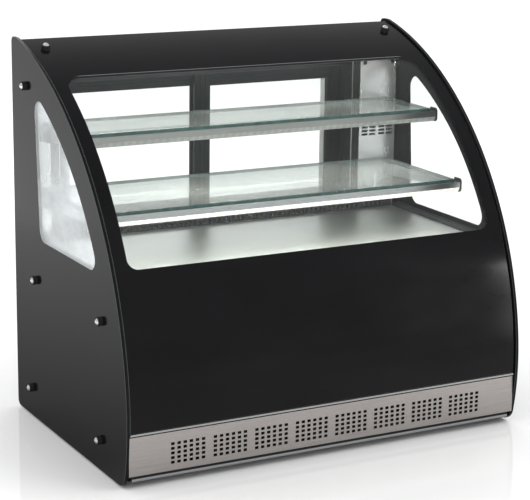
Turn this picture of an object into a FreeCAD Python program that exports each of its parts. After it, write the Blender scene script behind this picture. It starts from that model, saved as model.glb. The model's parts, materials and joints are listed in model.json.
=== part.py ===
import FreeCAD, Part
import math
import os

# Countertop refrigerated bakery display case, millimetres.
# Origin: middle of the footprint, on the counter. +X right, -Y front (customer side), +Z up.

Vec = FreeCAD.Vector

# ---------------------------------------------------------------- driving dimensions
CASE_W = 900.0            # across the outer faces of the two side glasses
CASE_D = 576.0            # front bulge of the side glasses to their rear edge
CASE_H = 800.0            # counter to the tip of the side glasses
GLASS_T = 6.0             # side and front glass
PANEL_LIFT = 4.0          # side glasses end this far above the counter
GAP = 6.0                 # spacer between glass and steel structure

KICK_R = 545.0            # lower arc of the front profile
KICK_LEAN = 13.3          # degrees, forward lean where the lower arc starts
JOIN_LEAN = 6.9           # degrees, backward lean where the two arcs meet
FRONT_R = 709.0           # upper arc of the front profile
TIP_FILLET = 11.0
TOE_FILLET = 30.0
HEEL_FILLET = 14.0

HALF_W = CASE_W / 2
REAR_Y = CASE_D / 2
IN_X = HALF_W - GLASS_T           # inner face of a side glass
STRUCT_X = IN_X - GAP             # outer face of the steel structure
SHEET = 2.0                       # steel sheet, bends included

FRONT_INSET = 5.0                 # front glass behind the side glasses' edges
FRONT_GLASS_LOW = 113.5           # lower edge of the front glass
FRONT_GLASS_TOP_ANGLE = 77.0      # degrees along the upper arc
SIDE_PLAY = 3.0                   # front glass to side glass

PAN_Z = 14.0                      # underside of the base pan
PAN_FRONT_Y = -276.0
PAN_LIP = 13.9                    # height of the pan's front flange
FOOT_X = 390.0
FOOT_FRONT_Y = -205.0
FOOT_REAR_Y = 235.0
FOOT_R = 19.0
FOOT_RECESS_R = 6.0
FOOT_RECESS = 7.0

GRILLE_LOW = 28.0
GRILLE_HIGH = 106.0
GRILLE_Y = -281.5
GRILLE_T = 1.5
GRILLE_RETURN = 18.0
GRILLE_GROUPS = 8
GRILLE_GROUP_PITCH = 91.0
GRILLE_COLUMNS = 6
GRILLE_ROWS = 5
GRILLE_PITCH_X = 13.1
GRILLE_PITCH_Z = 9.4
GRILLE_CENTRE_Z = 63.0
GRILLE_HOLE_W = 7.4
GRILLE_HOLE_H = 5.6

CHANNEL_Y = (-284.5, -262.5)      # channel under the front glass
CHANNEL_Z = (109.0, 125.0)
CHANNEL_T = 4.0
CHANNEL_WEB_Y = (-274.0, -272.0)

SIDE_TOE_Y = -258.0               # front edge of the cabinet's side sheets, at the floor
SIDE_KNEE_Y = -262.0              # and behind the front glass's lower edge
BULKHEAD_FOOT_Y = -261.0
BULKHEAD_HEAD_Y = -225.0
BULKHEAD_FOOT_Z = 127.5
BASE_TOP = 376.0                  # top of the lower cabinet
BASE_REAR_Y = 281.0
POST_FRONT_Y = 205.0
POST_REAR_Y = 283.0
SILL_LOW = 336.0
SILL_REAR_Y = 278.5
COVER_Y = 281.1                   # front face of the rear cover
COVER_T = 1.5
COVER_Z = (18.0, 374.0)

LOUVRE_ROWS = 9
LOUVRE_COLUMNS = 3
LOUVRE_W = 150.0
LOUVRE_H = 4.0
LOUVRE_PITCH_X = 180.0
LOUVRE_PITCH_Z = 14.0
LOUVRE_CENTRE_X = -160.0
LOUVRE_CENTRE_Z = 130.0

SCREW_R = 2.0
SCREW_HEAD_R = 4.5
SCREW_HEAD_H = 2.4
SCREW_HOLE_R = 2.2
SCREW_L = 4.0
COVER_SCREWS = ((-420, 40), (-420, 355), (0, 30), (0, 362), (420, 40), (420, 355))
COLUMN_SCREW_XS = (355.0, 427.0)
COLUMN_SCREW_Z = 712.0
COLUMN_SLOT_XS = (351.0, 371.0, 395.0, 415.0)
COLUMN_SLOT_W = 16.0
COLUMN_SLOT_H = 5.0
COLUMN_SLOT_ZS = (546.0, 554.0, 562.0)

GLAND_X = 392.0
GLAND_Z = 60.0
GLAND_R = 11.0
GLAND_HEAD = 4.5
CABLE_R = 4.5

FASCIA_X = (226.0, 406.0)         # control fascia
FASCIA_Z = (280.0, 330.0)
FASCIA_PROUD = 2.0
DISPLAY_X = (238.0, 318.0)
DISPLAY_Z = (300.0, 324.0)
BUTTON_Z = 290.0
BUTTON_W = 12.0
BUTTON_H = 7.0
BUTTON_XS = (250.0, 270.0, 290.0)
BUTTON_PROUD = 1.6
BUTTON_PLAY = 0.4
ROCKER_X = 366.0
ROCKER_Z = 305.0
ROCKER_HALF_W = 9.0
ROCKER_HALF_H = 12.0
ROCKER_R = 12.6
ROCKER_SET = 8.0                  # degrees, half its throw

DOORWAY_LEFT = -400.0
DOORWAY_RIGHT = 344.0
HOUSING_LOW = 742.0
HOUSING_FRONT_Y = 190.0
HOUSING_STEP_Y = 267.0
HOUSING_REAR_Y = 286.0
HOUSING_TOP = 792.0

DOOR_T = 10.0
DOOR_LOW = 384.0
DOOR_HIGH = 716.0
DOOR_LEFT = -378.0                # outer edge of the left door, closed
DOOR_RIGHT = 322.0                # outer edge of the right door, closed
DOOR_OVERLAP = 36.0
STILE = 36.0
RAIL_LOW = 40.0
RAIL_HIGH = 39.0
PANE_T = 5.0
PANE_BITE = 7.5
INNER_DOOR_Y = 252.0              # front face of the inner (right) door
OUTER_DOOR_Y = 267.0              # front face of the outer (left) door
PULL_W = 13.0
TRACK_RIBS = ((248.0, 251.0), (263.0, 266.0), (278.0, 281.0))
TOP_TRACK_WEB = 722.0
TOP_TRACK_LOW = 702.0
BOTTOM_TRACK_WEB = 380.0
BOTTOM_TRACK_HIGH = 392.0
JAMB_PLAY = 0.5

DECK_TOP = 384.0
DECK_FRONT_Y = -204.0
DECK_REAR_Y = 184.0
DECK_HALF_X = 423.0
RAIL_X = (-440.0, -425.0)
RAIL_TOP = 391.0
AIR_SLOTS = 70
AIR_SLOT_PITCH = 11.6
AIR_SLOT_W = 6.0
AIR_SLOT_Z = (386.0, 395.0)
AIR_GRILLE_TOP = 400.0

UPPER_SHELF_FRONT_Y = 26.5
UPPER_SHELF_TOP = 632.0
MIDDLE_SHELF_FRONT_Y = -76.5
MIDDLE_SHELF_TOP = 494.0
SHELF_T = 8.0
SHELF_HALF_X = 416.0
LED_HALF_X = 430.0
LED_DEPTH = 24.0
LED_HEIGHT = 22.0
LED_STRIP = 10.0
CAP_T = 4.0
ARM_REAR_H = 34.0
ARM_FRONT_H = 16.0
ARM_T = 3.0
TOP_LED_ANGLE = 66.5
TOP_LED_HALF_X = 405.0
TOP_LED_DEPTH = 13.6

WELL_OUT_X = 432.0
WELL_FRONT_Y = -208.0
WELL_REAR_Y = 203.0
WELL_LOW = 200.0
WELL_TOP = 372.0
FOAM = 28.0
LINER_T = 1.5

STUD_R = 4.0
STUD_HOLE_R = 4.4
GLASS_HOLE_R = 5.0
COLLAR_R = 9.0
COLLAR_L = 8.5
CAP_R = 10.5
CAP_L = 4.0
SIDE_STUDS = ((-169.5, 308.0), (-161.0, 66.0), (170.0, 308.0), (202.0, 66.0), (212.0, 707.0))
FRONT_STUD_X = 406.0
FRONT_STUD_ANGLE = 72.5           # degrees along the upper arc

SHAFT_R = 4.0
SHAFT_PLAY = 0.06
BLADES = 5
BLADE_PITCH = 58.0                # degrees
MOTOR_L = 52.0
COMP_X = 250.0
COMP_Y = 60.0
COMP_R = 66.0
COMP_LOW = 30.0
COMP_HIGH = 186.0
COMP_DOME_R = 26.0
PIPE_X = 160.0
PIPE_R = 4.0
PIPE_BEND = 24.0
PIPE_Z = 110.0                    # discharge line
SUCTION_Z = 150.0
CONDENSER_Y = (-236.0, -182.0)
EVAPORATOR_Y = (-50.0, 18.0)
COIL_TOP = (196.0, 366.0)         # condenser, evaporator

# ---------------------------------------------------------------- front profile
LEAN = math.radians(KICK_LEAN)
JOIN = math.radians(JOIN_LEAN)
KICK_CY = -CASE_D / 2 + KICK_R
KICK_CZ = PANEL_LIFT + KICK_R * math.sin(LEAN)
FRONT_CY = KICK_CY + (FRONT_R - KICK_R) * math.cos(JOIN)
FRONT_CZ = KICK_CZ - (FRONT_R - KICK_R) * math.sin(JOIN)


def yz(y, z):
    return Vec(0, y, z)


def on_front(offset, angle):
    """Point of the upper arc, offset inwards; angle is the backward lean in radians."""
    radius = FRONT_R - offset
    return yz(FRONT_CY - radius * math.cos(angle), FRONT_CZ + radius * math.sin(angle))


def on_kick(offset, angle):
    """Point of the lower arc, offset inwards."""
    radius = KICK_R - offset
    return yz(KICK_CY - radius * math.cos(angle), KICK_CZ + radius * math.sin(angle))


def front_angle_at_z(offset, z):
    return math.asin((z - FRONT_CZ) / (FRONT_R - offset))


def kick_angle_at_z(offset, z):
    return math.asin((z - KICK_CZ) / (KICK_R - offset))


def arc(place, offset, start, end):
    """Edge along one arc of the profile, from one angle to another."""
    points = [place(offset, a) for a in (start, (start + end) / 2, end)]
    return Part.Arc(*points).toShape()


def line(a, b):
    return Part.LineSegment(a, b).toShape()


def extrude_x(edges, x0, x1):
    """Solid between x0 and x1 from a closed outline in the YZ plane."""
    face = Part.Face(Part.Wire(Part.__sortEdges__(edges)))
    face.translate(Vec(x0, 0, 0))
    return face.extrude(Vec(x1 - x0, 0, 0))


def prism_x(points, x0, x1):
    corners = [yz(*p) for p in points]
    return extrude_x([line(a, b) for a, b in zip(corners, corners[1:] + corners[:1])], x0, x1)


def box(x0, x1, y0, y1, z0, z1):
    return Part.makeBox(x1 - x0, y1 - y0, z1 - z0, Vec(x0, y0, z0))


def rod(radius, start, end):
    way = end.sub(start)
    return Part.makeCylinder(radius, way.Length, start, way)


def ring(outer, inner, start, end):
    return rod(outer, start, end).cut(rod(inner, start, end))


def group(solids):
    return Part.makeCompound(list(solids))


def mirrored(solid):
    return solid.mirror(Vec(0, 0, 0), Vec(1, 0, 0))


def round_edges_x(solid, corners):
    """Round the X-directed edges that pass through each (y, z) corner."""
    for y, z, radius in corners:
        near = [e for e in solid.Edges
                if math.hypot(e.CenterOfMass.y - y, e.CenterOfMass.z - z) < 1.0]
        solid = solid.makeFillet(radius, near)
    return solid


def hollow_box(x0, x1, y0, y1, z0, z1, wall):
    """Rectangular tube standing along Z, open at both ends."""
    inner = box(x0 + wall, x1 - wall, y0 + wall, y1 - wall, z0 - 1, z1 + 1)
    return box(x0, x1, y0, y1, z0, z1).cut(inner)


# ---------------------------------------------------------------- glass envelope
def side_glass():
    """Left side glass: convex front edge, small flat tip, five stud holes."""
    foot = on_kick(0, -LEAN)
    tip_angle = front_angle_at_z(0, CASE_H)
    tip = on_front(0, tip_angle)
    edges = [
        arc(on_kick, 0, -LEAN, JOIN),
        arc(on_front, 0, JOIN, tip_angle),
        line(tip, yz(REAR_Y, CASE_H)),
        line(yz(REAR_Y, CASE_H), yz(REAR_Y, PANEL_LIFT)),
        line(yz(REAR_Y, PANEL_LIFT), foot),
    ]
    glass = extrude_x(edges, -HALF_W, -IN_X)
    glass = round_edges_x(glass, (
        (REAR_Y, CASE_H, TIP_FILLET),
        (foot.y, PANEL_LIFT, TOE_FILLET),
        (REAR_Y, PANEL_LIFT, HEEL_FILLET),
    ))
    for y, z in SIDE_STUDS:
        glass = glass.cut(rod(GLASS_HOLE_R, Vec(-HALF_W - 1, y, z), Vec(-IN_X + 1, y, z)))
    return glass


def front_shell(outer, inner, low, top_angle, half_x):
    """Curved sheet between two offsets of the front profile."""
    low_out = kick_angle_at_z(outer, low)
    low_in = kick_angle_at_z(inner, low)
    edges = [
        arc(on_kick, outer, low_out, JOIN),
        arc(on_front, outer, JOIN, top_angle),
        line(on_front(outer, top_angle), on_front(inner, top_angle)),
        arc(on_front, inner, JOIN, top_angle),
        arc(on_kick, inner, low_in, JOIN),
        line(on_kick(inner, low_in), on_kick(outer, low_out)),
    ]
    return extrude_x(edges, -half_x, half_x)


def front_glass():
    top = math.radians(FRONT_GLASS_TOP_ANGLE)
    glass = front_shell(FRONT_INSET, FRONT_INSET + GLASS_T, FRONT_GLASS_LOW, top, IN_X - SIDE_PLAY)
    for x in (-FRONT_STUD_X, FRONT_STUD_X):
        glass = glass.cut(rod(GLASS_HOLE_R, front_stud_point(x, -1), front_stud_point(x, GLASS_T + 1)))
    return glass


def front_stud_point(x, depth):
    """Point on a front stud's axis, this far below the outer face of the front glass."""
    point = on_front(FRONT_INSET + depth, math.radians(FRONT_STUD_ANGLE))
    return Vec(x, point.y, point.z)


def side_stud_point(side, y, z, depth):
    """Point on a side stud's axis, this far inside the outer face of the side glass."""
    return Vec(side * (HALF_W - depth), y, z)


def along_studs(make):
    """Build one piece per stud; make(point) gets a function from depth to position."""
    pieces = []
    for side in (-1, 1):
        for y, z in SIDE_STUDS:
            pieces.append(make(lambda depth, s=side, py=y, pz=z: side_stud_point(s, py, pz, depth)))
        x = side * FRONT_STUD_X
        pieces.append(make(lambda depth, px=x: front_stud_point(px, depth)))
    return group(pieces)


def standoff_spacer(point):
    return ring(COLLAR_R, STUD_HOLE_R, point(GLASS_T + 0.1), point(GLASS_T + GAP))


def standoff_collar(point):
    return ring(COLLAR_R, STUD_HOLE_R, point(-COLLAR_L), point(0))


def standoff_cap(point):
    """Turned cap with a crowned edge and its threaded stud."""
    head = rod(CAP_R, point(-COLLAR_L - CAP_L), point(-COLLAR_L))
    crown = [e for e in head.Edges if e.Closed and e.CenterOfMass.sub(point(-COLLAR_L - CAP_L)).Length < 0.5]
    head = head.makeFillet(1.4, crown)
    return head.fuse(rod(STUD_R, point(-COLLAR_L - 1), point(GLASS_T + GAP + 5)))


# ---------------------------------------------------------------- lower cabinet
def base_pan():
    """Floor of the machine compartment with an upturned front flange."""
    pan = box(-STRUCT_X, STRUCT_X, PAN_FRONT_Y, BASE_REAR_Y, PAN_Z, PAN_Z + SHEET)
    half = STRUCT_X - SHEET
    front = box(-half, half, PAN_FRONT_Y, PAN_FRONT_Y + SHEET, PAN_Z, PAN_Z + PAN_LIP)
    return pan.fuse(front).removeSplitter()


def feet():
    """Four moulded rubber feet, each with a recess for its screw."""
    pads = []
    for x in (-FOOT_X, FOOT_X):
        for y in (FOOT_FRONT_Y, FOOT_REAR_Y):
            pad = Part.makeCone(FOOT_R - 3, FOOT_R, PAN_Z, Vec(x, y, 0))
            pads.append(pad.cut(Part.makeCylinder(FOOT_RECESS_R, FOOT_RECESS, Vec(x, y, 0))))
    return group(pads)


def base_side():
    """Left side sheet of the lower cabinet, its front edge sloping with the bulkhead."""
    x0 = -STRUCT_X
    side = prism_x((
        (SIDE_TOE_Y, PAN_Z + SHEET), (SIDE_KNEE_Y, GRILLE_HIGH), (SIDE_KNEE_Y, FRONT_GLASS_LOW),
        (BULKHEAD_HEAD_Y, BASE_TOP), (BASE_REAR_Y, BASE_TOP), (BASE_REAR_Y, PAN_Z + SHEET),
    ), x0, x0 + SHEET)
    for y, z in SIDE_STUDS[:4]:
        side = side.cut(rod(STUD_HOLE_R, Vec(x0 - 1, y, z), Vec(x0 + SHEET + 1, y, z)))
    return side


def front_bulkhead():
    """Sloping sheet behind the printed part of the front glass, with a top flange."""
    half = STRUCT_X - SHEET
    return prism_x((
        (BULKHEAD_FOOT_Y, BULKHEAD_FOOT_Z), (BULKHEAD_FOOT_Y + SHEET, BULKHEAD_FOOT_Z),
        (BULKHEAD_HEAD_Y + SHEET, BASE_TOP - SHEET), (DECK_FRONT_Y - SHEET, BASE_TOP - SHEET),
        (DECK_FRONT_Y - SHEET, BASE_TOP), (BULKHEAD_HEAD_Y, BASE_TOP),
    ), -half, half)


def front_glass_channel():
    """Thin bright channel that carries the lower edge of the front glass."""
    half = IN_X - SIDE_PLAY
    (front, rear), (low, high), (web_front, web_rear) = CHANNEL_Y, CHANNEL_Z, CHANNEL_WEB_Y
    seat = low + CHANNEL_T
    return prism_x((
        (front, low), (front, seat), (web_front, seat), (web_front, high),
        (web_rear, high), (web_rear, seat), (rear, seat), (rear, low),
    ), -half, half)


def front_grille():
    """Stainless kick plate with returns and eight groups of square perforations."""
    half = IN_X - 1.0
    plate = box(-half, half, GRILLE_Y, GRILLE_Y + GRILLE_T, GRILLE_LOW, GRILLE_HIGH)
    for z in (GRILLE_LOW, GRILLE_HIGH - GRILLE_T):
        plate = plate.fuse(box(-half, half, GRILLE_Y, GRILLE_Y + GRILLE_RETURN, z, z + GRILLE_T))
    plate = plate.removeSplitter()
    holes = []
    for g in range(GRILLE_GROUPS):
        group_x = (g - (GRILLE_GROUPS - 1) / 2) * GRILLE_GROUP_PITCH
        for c in range(GRILLE_COLUMNS):
            x = group_x + (c - (GRILLE_COLUMNS - 1) / 2) * GRILLE_PITCH_X - GRILLE_HOLE_W / 2
            for r in range(GRILLE_ROWS):
                z = GRILLE_CENTRE_Z + (r - (GRILLE_ROWS - 1) / 2) * GRILLE_PITCH_Z - GRILLE_HOLE_H / 2
                holes.append(box(x, x + GRILLE_HOLE_W, GRILLE_Y - 1, GRILLE_Y + GRILLE_T + 1,
                                 z, z + GRILLE_HOLE_H))
    return plate.cut(group(holes))


def rear_sill():
    """Closed sheet-metal beam under the doors, carrying the posts and the lower track."""
    half = STRUCT_X - SHEET
    outer = box(-half, half, POST_FRONT_Y, SILL_REAR_Y, SILL_LOW, BASE_TOP)
    inner = box(-half - 1, half + 1, POST_FRONT_Y + SHEET, SILL_REAR_Y - SHEET,
                SILL_LOW + SHEET, BASE_TOP - SHEET)
    return outer.cut(inner)


def rear_service_panel():
    """Removable rear cover with air slots, an opening for the controls and a cable entry."""
    front, rear = COVER_Y - 1, COVER_Y + COVER_T + 1
    panel = box(-STRUCT_X, STRUCT_X, COVER_Y, COVER_Y + COVER_T, *COVER_Z)
    cuts = []
    for c in range(LOUVRE_COLUMNS):
        x = LOUVRE_CENTRE_X + (c - (LOUVRE_COLUMNS - 1) / 2) * LOUVRE_PITCH_X - LOUVRE_W / 2
        for r in range(LOUVRE_ROWS):
            z = LOUVRE_CENTRE_Z + (r - (LOUVRE_ROWS - 1) / 2) * LOUVRE_PITCH_Z
            cuts.append(box(x, x + LOUVRE_W, front, rear, z - LOUVRE_H / 2, z + LOUVRE_H / 2))
    (x0, x1), (z0, z1) = FASCIA_X, FASCIA_Z
    cuts.append(box(x0 + 5, x1 - 5, front, rear, z0 + 5, z1 - 5))
    cuts.append(rod(GLAND_R - 2, Vec(GLAND_X, front, GLAND_Z), Vec(GLAND_X, rear, GLAND_Z)))
    cuts += [rod(SCREW_HOLE_R, Vec(x, front, z), Vec(x, rear, z)) for x, z in COVER_SCREWS]
    return panel.cut(group(cuts))


def screw(start, way):
    """Pan-head screw: start is under the head, way points out of the head."""
    top = start.add(way * SCREW_HEAD_H)
    head = rod(SCREW_HEAD_R, start, top)
    rim = [e for e in head.Edges if e.Closed and e.CenterOfMass.sub(top).Length < 0.2]
    head = head.makeFillet(1.0, rim)
    return head.fuse(rod(SCREW_R, start.sub(way * SCREW_L), start.add(way * 0.5)))


def panel_screws():
    """Screws of the rear cover and of the air column."""
    solids = [screw(Vec(x, COVER_Y + COVER_T, z), Vec(0, 1, 0)) for x, z in COVER_SCREWS]
    solids += [screw(Vec(x, POST_FRONT_Y, COLUMN_SCREW_Z), Vec(0, -1, 0)) for x in COLUMN_SCREW_XS]
    return group(solids)


def cable_gland():
    """Hexagonal gland body with a through bore for the supply cable."""
    seat = COVER_Y + COVER_T
    across = GLAND_R * 2 / math.sqrt(3)
    corners = [Vec(GLAND_X + across * math.cos(math.pi * k / 3), seat,
                   GLAND_Z + across * math.sin(math.pi * k / 3)) for k in range(6)]
    head = Part.Face(Part.makePolygon(corners + corners[:1])).extrude(Vec(0, GLAND_HEAD, 0))
    inner = COVER_Y - 14
    stem = rod(GLAND_R - 2.1, Vec(GLAND_X, inner, GLAND_Z), Vec(GLAND_X, seat, GLAND_Z))
    bore = rod(CABLE_R, Vec(GLAND_X, inner - 1, GLAND_Z), Vec(GLAND_X, seat + GLAND_HEAD + 1, GLAND_Z))
    return head.fuse(stem).cut(bore)


# ---------------------------------------------------------------- cold well and deck
def well_insulation():
    outer = box(-WELL_OUT_X, WELL_OUT_X, WELL_FRONT_Y, WELL_REAR_Y, WELL_LOW, WELL_TOP)
    inner = box(-WELL_OUT_X + FOAM, WELL_OUT_X - FOAM, WELL_FRONT_Y + FOAM, WELL_REAR_Y - FOAM,
                WELL_LOW + FOAM, WELL_TOP + 1)
    return outer.cut(inner).cut(pipe_hole())


def well_liner():
    """Stainless tub that lines the insulation."""
    x, y0, y1 = WELL_OUT_X - FOAM, WELL_FRONT_Y + FOAM, WELL_REAR_Y - FOAM
    outer = box(-x, x, y0, y1, WELL_LOW + FOAM, WELL_TOP)
    inner = box(-x + LINER_T, x - LINER_T, y0 + LINER_T, y1 - LINER_T, WELL_LOW + FOAM + LINER_T,
                WELL_TOP + 1)
    return outer.cut(inner).cut(pipe_hole())


def deck_panel():
    """Lift-out steel floor of the display, its edges folded down."""
    outer = box(-DECK_HALF_X, DECK_HALF_X, DECK_FRONT_Y, DECK_REAR_Y, WELL_TOP, DECK_TOP)
    inner = box(-DECK_HALF_X + SHEET, DECK_HALF_X - SHEET, DECK_FRONT_Y + SHEET, DECK_REAR_Y - SHEET,
                WELL_TOP - 1, DECK_TOP - SHEET)
    return outer.cut(inner)


def deck_rails():
    """Small channels between the deck and the side glasses."""
    x0, x1 = RAIL_X
    outer = box(x0, x1, DECK_FRONT_Y, DECK_REAR_Y, BASE_TOP, RAIL_TOP)
    inner = box(x0 + SHEET, x1 - SHEET, DECK_FRONT_Y - 1, DECK_REAR_Y + 1, BASE_TOP + SHEET, RAIL_TOP + 1)
    rail = outer.cut(inner)
    return group((rail, mirrored(rail)))


def rear_air_grille():
    """Upstand behind the deck with a row of cold-air slots and a top return."""
    y0 = DECK_REAR_Y + 4
    face = box(-DECK_HALF_X, DECK_HALF_X, y0, y0 + SHEET, WELL_TOP + 0.5, AIR_GRILLE_TOP)
    lip = box(-DECK_HALF_X, DECK_HALF_X, y0, POST_FRONT_Y - 1, AIR_GRILLE_TOP - SHEET, AIR_GRILLE_TOP)
    grille = face.fuse(lip).removeSplitter()
    slots = []
    for k in range(AIR_SLOTS):
        x = (k - (AIR_SLOTS - 1) / 2) * AIR_SLOT_PITCH - AIR_SLOT_W / 2
        slots.append(box(x, x + AIR_SLOT_W, y0 - 1, y0 + SHEET + 1, *AIR_SLOT_Z))
    return grille.cut(group(slots))


# ---------------------------------------------------------------- rear frame and doors
def rear_post_left():
    post = hollow_box(-STRUCT_X, DOORWAY_LEFT, POST_FRONT_Y, POST_REAR_Y, BASE_TOP, HOUSING_LOW, SHEET)
    y, z = SIDE_STUDS[4]
    return post.cut(rod(STUD_HOLE_R, Vec(-STRUCT_X - 1, y, z), Vec(-STRUCT_X + SHEET + 1, y, z)))


def air_column_right():
    """Wide column with louvre slots that returns air to the well."""
    column = hollow_box(DOORWAY_RIGHT, STRUCT_X, POST_FRONT_Y, POST_REAR_Y, BASE_TOP, HOUSING_LOW, SHEET)
    y, z = SIDE_STUDS[4]
    cuts = [rod(STUD_HOLE_R, Vec(STRUCT_X - SHEET - 1, y, z), Vec(STRUCT_X + 1, y, z))]
    front, inside = POST_FRONT_Y - 1, POST_FRONT_Y + SHEET + 1
    cuts += [rod(SCREW_HOLE_R, Vec(x, front, COLUMN_SCREW_Z), Vec(x, inside, COLUMN_SCREW_Z))
             for x in COLUMN_SCREW_XS]
    cuts += [box(x, x + COLUMN_SLOT_W, front, inside, z, z + COLUMN_SLOT_H)
             for x in COLUMN_SLOT_XS for z in COLUMN_SLOT_ZS]
    return column.cut(group(cuts))


def top_housing():
    """Closed black housing across the top; the front glass is clamped to its curved face."""
    def outline(inset):
        offset = FRONT_INSET + GLASS_T + GAP + inset
        radius = FRONT_R - offset
        y_front = HOUSING_FRONT_Y + inset
        y_step = HOUSING_STEP_Y + inset
        low = HOUSING_LOW + inset
        top = HOUSING_TOP - inset
        rear = HOUSING_REAR_Y - inset
        start = math.acos((FRONT_CY - y_front) / radius)
        end = math.acos((FRONT_CY - y_step) / radius)
        return [
            line(yz(y_front, low), on_front(offset, start)),
            arc(on_front, offset, start, end),
            line(on_front(offset, end), yz(y_step, top)),
            line(yz(y_step, top), yz(rear, top)),
            line(yz(rear, top), yz(rear, low)),
            line(yz(rear, low), yz(y_front, low)),
        ]
    shell = extrude_x(outline(0), -STRUCT_X, STRUCT_X)
    shell = shell.cut(extrude_x(outline(SHEET), -STRUCT_X + SHEET, STRUCT_X - SHEET))
    for x in (-FRONT_STUD_X, FRONT_STUD_X):
        deep = GLASS_T + GAP + SHEET + 1
        shell = shell.cut(rod(STUD_HOLE_R, front_stud_point(x, GLASS_T), front_stud_point(x, deep)))
    return shell


def track(web_low, web_high, rib_low, rib_high):
    """Extruded two-channel door track."""
    x0, x1 = DOORWAY_LEFT + 0.5, DOORWAY_RIGHT - 0.5
    body = box(x0, x1, TRACK_RIBS[0][0], TRACK_RIBS[-1][1], web_low, web_high)
    for y0, y1 in TRACK_RIBS:
        body = body.fuse(box(x0, x1, y0, y1, rib_low, rib_high))
    return body.removeSplitter()


def door_jambs():
    """Dark closing profiles at each end of the doorway: between the tracks, and full height in front."""
    front, track_front, rear = POST_FRONT_Y + 1, TRACK_RIBS[0][0] - JAMB_PLAY, TRACK_RIBS[-1][1]
    jambs = []
    for x0, x1 in ((DOORWAY_LEFT, DOOR_LEFT - JAMB_PLAY), (DOOR_RIGHT + JAMB_PLAY, DOORWAY_RIGHT)):
        jamb = box(x0, x1, front, track_front, BASE_TOP, HOUSING_LOW)
        jamb = jamb.fuse(box(x0, x1, track_front, rear, BOTTOM_TRACK_HIGH, TOP_TRACK_LOW))
        jambs.append(jamb.removeSplitter())
    return group(jambs)


def top_track():
    return track(TOP_TRACK_WEB, HOUSING_LOW, TOP_TRACK_LOW, TOP_TRACK_WEB + 1)


def bottom_track():
    return track(BASE_TOP, BOTTOM_TRACK_WEB, BOTTOM_TRACK_WEB - 1, BOTTOM_TRACK_HIGH)


DOOR_W = (DOOR_RIGHT - DOOR_LEFT + DOOR_OVERLAP) / 2
GLAZING_LOW = DOOR_LOW + RAIL_LOW
GLAZING_HIGH = DOOR_HIGH - RAIL_HIGH
PANE_IN = (DOOR_T - PANE_T) / 2


def door_frame(x0, y0):
    """Aluminium door frame with a glazing groove."""
    x1 = x0 + DOOR_W
    frame = box(x0, x1, y0, y0 + DOOR_T, DOOR_LOW, DOOR_HIGH)
    frame = frame.cut(box(x0 + STILE, x1 - STILE, y0 - 1, y0 + DOOR_T + 1, GLAZING_LOW, GLAZING_HIGH))
    bite = PANE_BITE + 0.4
    return frame.cut(box(x0 + STILE - bite, x1 - STILE + bite, y0 + PANE_IN - 0.1,
                         y0 + DOOR_T - PANE_IN + 0.1, GLAZING_LOW - bite, GLAZING_HIGH + bite))


def door_glass(x0, y0):
    return box(x0 + STILE - PANE_BITE, x0 + DOOR_W - STILE + PANE_BITE, y0 + PANE_IN,
               y0 + DOOR_T - PANE_IN, GLAZING_LOW - PANE_BITE, GLAZING_HIGH + PANE_BITE)


def door_pull(x0, y0, side):
    """Slim pull strip on the service side, beside the outer stile."""
    edge = x0 + STILE if side < 0 else x0 + DOOR_W - STILE - PULL_W
    return box(edge + 0.2, edge + PULL_W - 0.2, y0 + DOOR_T - PANE_IN + 0.02, y0 + DOOR_T,
               GLAZING_LOW + 0.5, GLAZING_HIGH - 0.5)


def door_glides(x0, y0):
    """Two nylon glides under the lower rail."""
    return group(box(x, x + 30, y0 + 0.5, y0 + DOOR_T - 0.5, BOTTOM_TRACK_WEB + 0.4, DOOR_LOW)
                 for x in (x0 + 20, x0 + DOOR_W - 50))


# ---------------------------------------------------------------- shelves and lights
def shelf_glass(front_y, top):
    return box(-SHELF_HALF_X, SHELF_HALF_X, front_y, POST_FRONT_Y - 1, top - SHELF_T, top)


def led_outline(front_y, top):
    """Section of the shelf's light profile: flat face, chamfered below for the lens."""
    z1 = top - SHELF_T
    z0 = z1 - LED_HEIGHT
    return ((front_y, z1), (front_y, z0 + LED_STRIP), (front_y + LED_STRIP * 0.6, z0),
            (front_y + LED_DEPTH, z0), (front_y + LED_DEPTH, z1))


def led_profile(front_y, top):
    z0 = top - SHELF_T - LED_HEIGHT
    body = prism_x(led_outline(front_y, top), -LED_HALF_X, LED_HALF_X)
    groove = prism_x(lens_outline(front_y, z0), -LED_HALF_X - 1, LED_HALF_X + 1)
    return body.cut(groove)


def lens_outline(front_y, z0):
    """Strip that fills the chamfer, a few millimetres deep."""
    slant = LED_STRIP * 0.6
    return ((front_y, z0 + LED_STRIP), (front_y + slant, z0), (front_y + slant + 5, z0),
            (front_y + 5, z0 + LED_STRIP))


def led_diffusers():
    """Lenses of the two shelf lights and the top light."""
    strips = [top_led_lens()]
    for front_y, top in ((UPPER_SHELF_FRONT_Y, UPPER_SHELF_TOP), (MIDDLE_SHELF_FRONT_Y, MIDDLE_SHELF_TOP)):
        strips.append(prism_x(lens_outline(front_y, top - SHELF_T - LED_HEIGHT), -LED_HALF_X, LED_HALF_X))
    return group(strips)


def shelf_end_caps():
    """Rounded end caps of both light profiles."""
    caps = []
    for front_y, top in ((UPPER_SHELF_FRONT_Y, UPPER_SHELF_TOP), (MIDDLE_SHELF_FRONT_Y, MIDDLE_SHELF_TOP)):
        z1 = top - 1
        z0 = top - SHELF_T - LED_HEIGHT - 1
        cap = box(-LED_HALF_X - CAP_T, -LED_HALF_X, front_y - 1, front_y + LED_DEPTH, z0, z1)
        cap = round_edges_x(cap, ((front_y - 1, z0, 8), (front_y - 1, z1, 8)))
        caps += [cap, mirrored(cap)]
    return group(caps)


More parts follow.
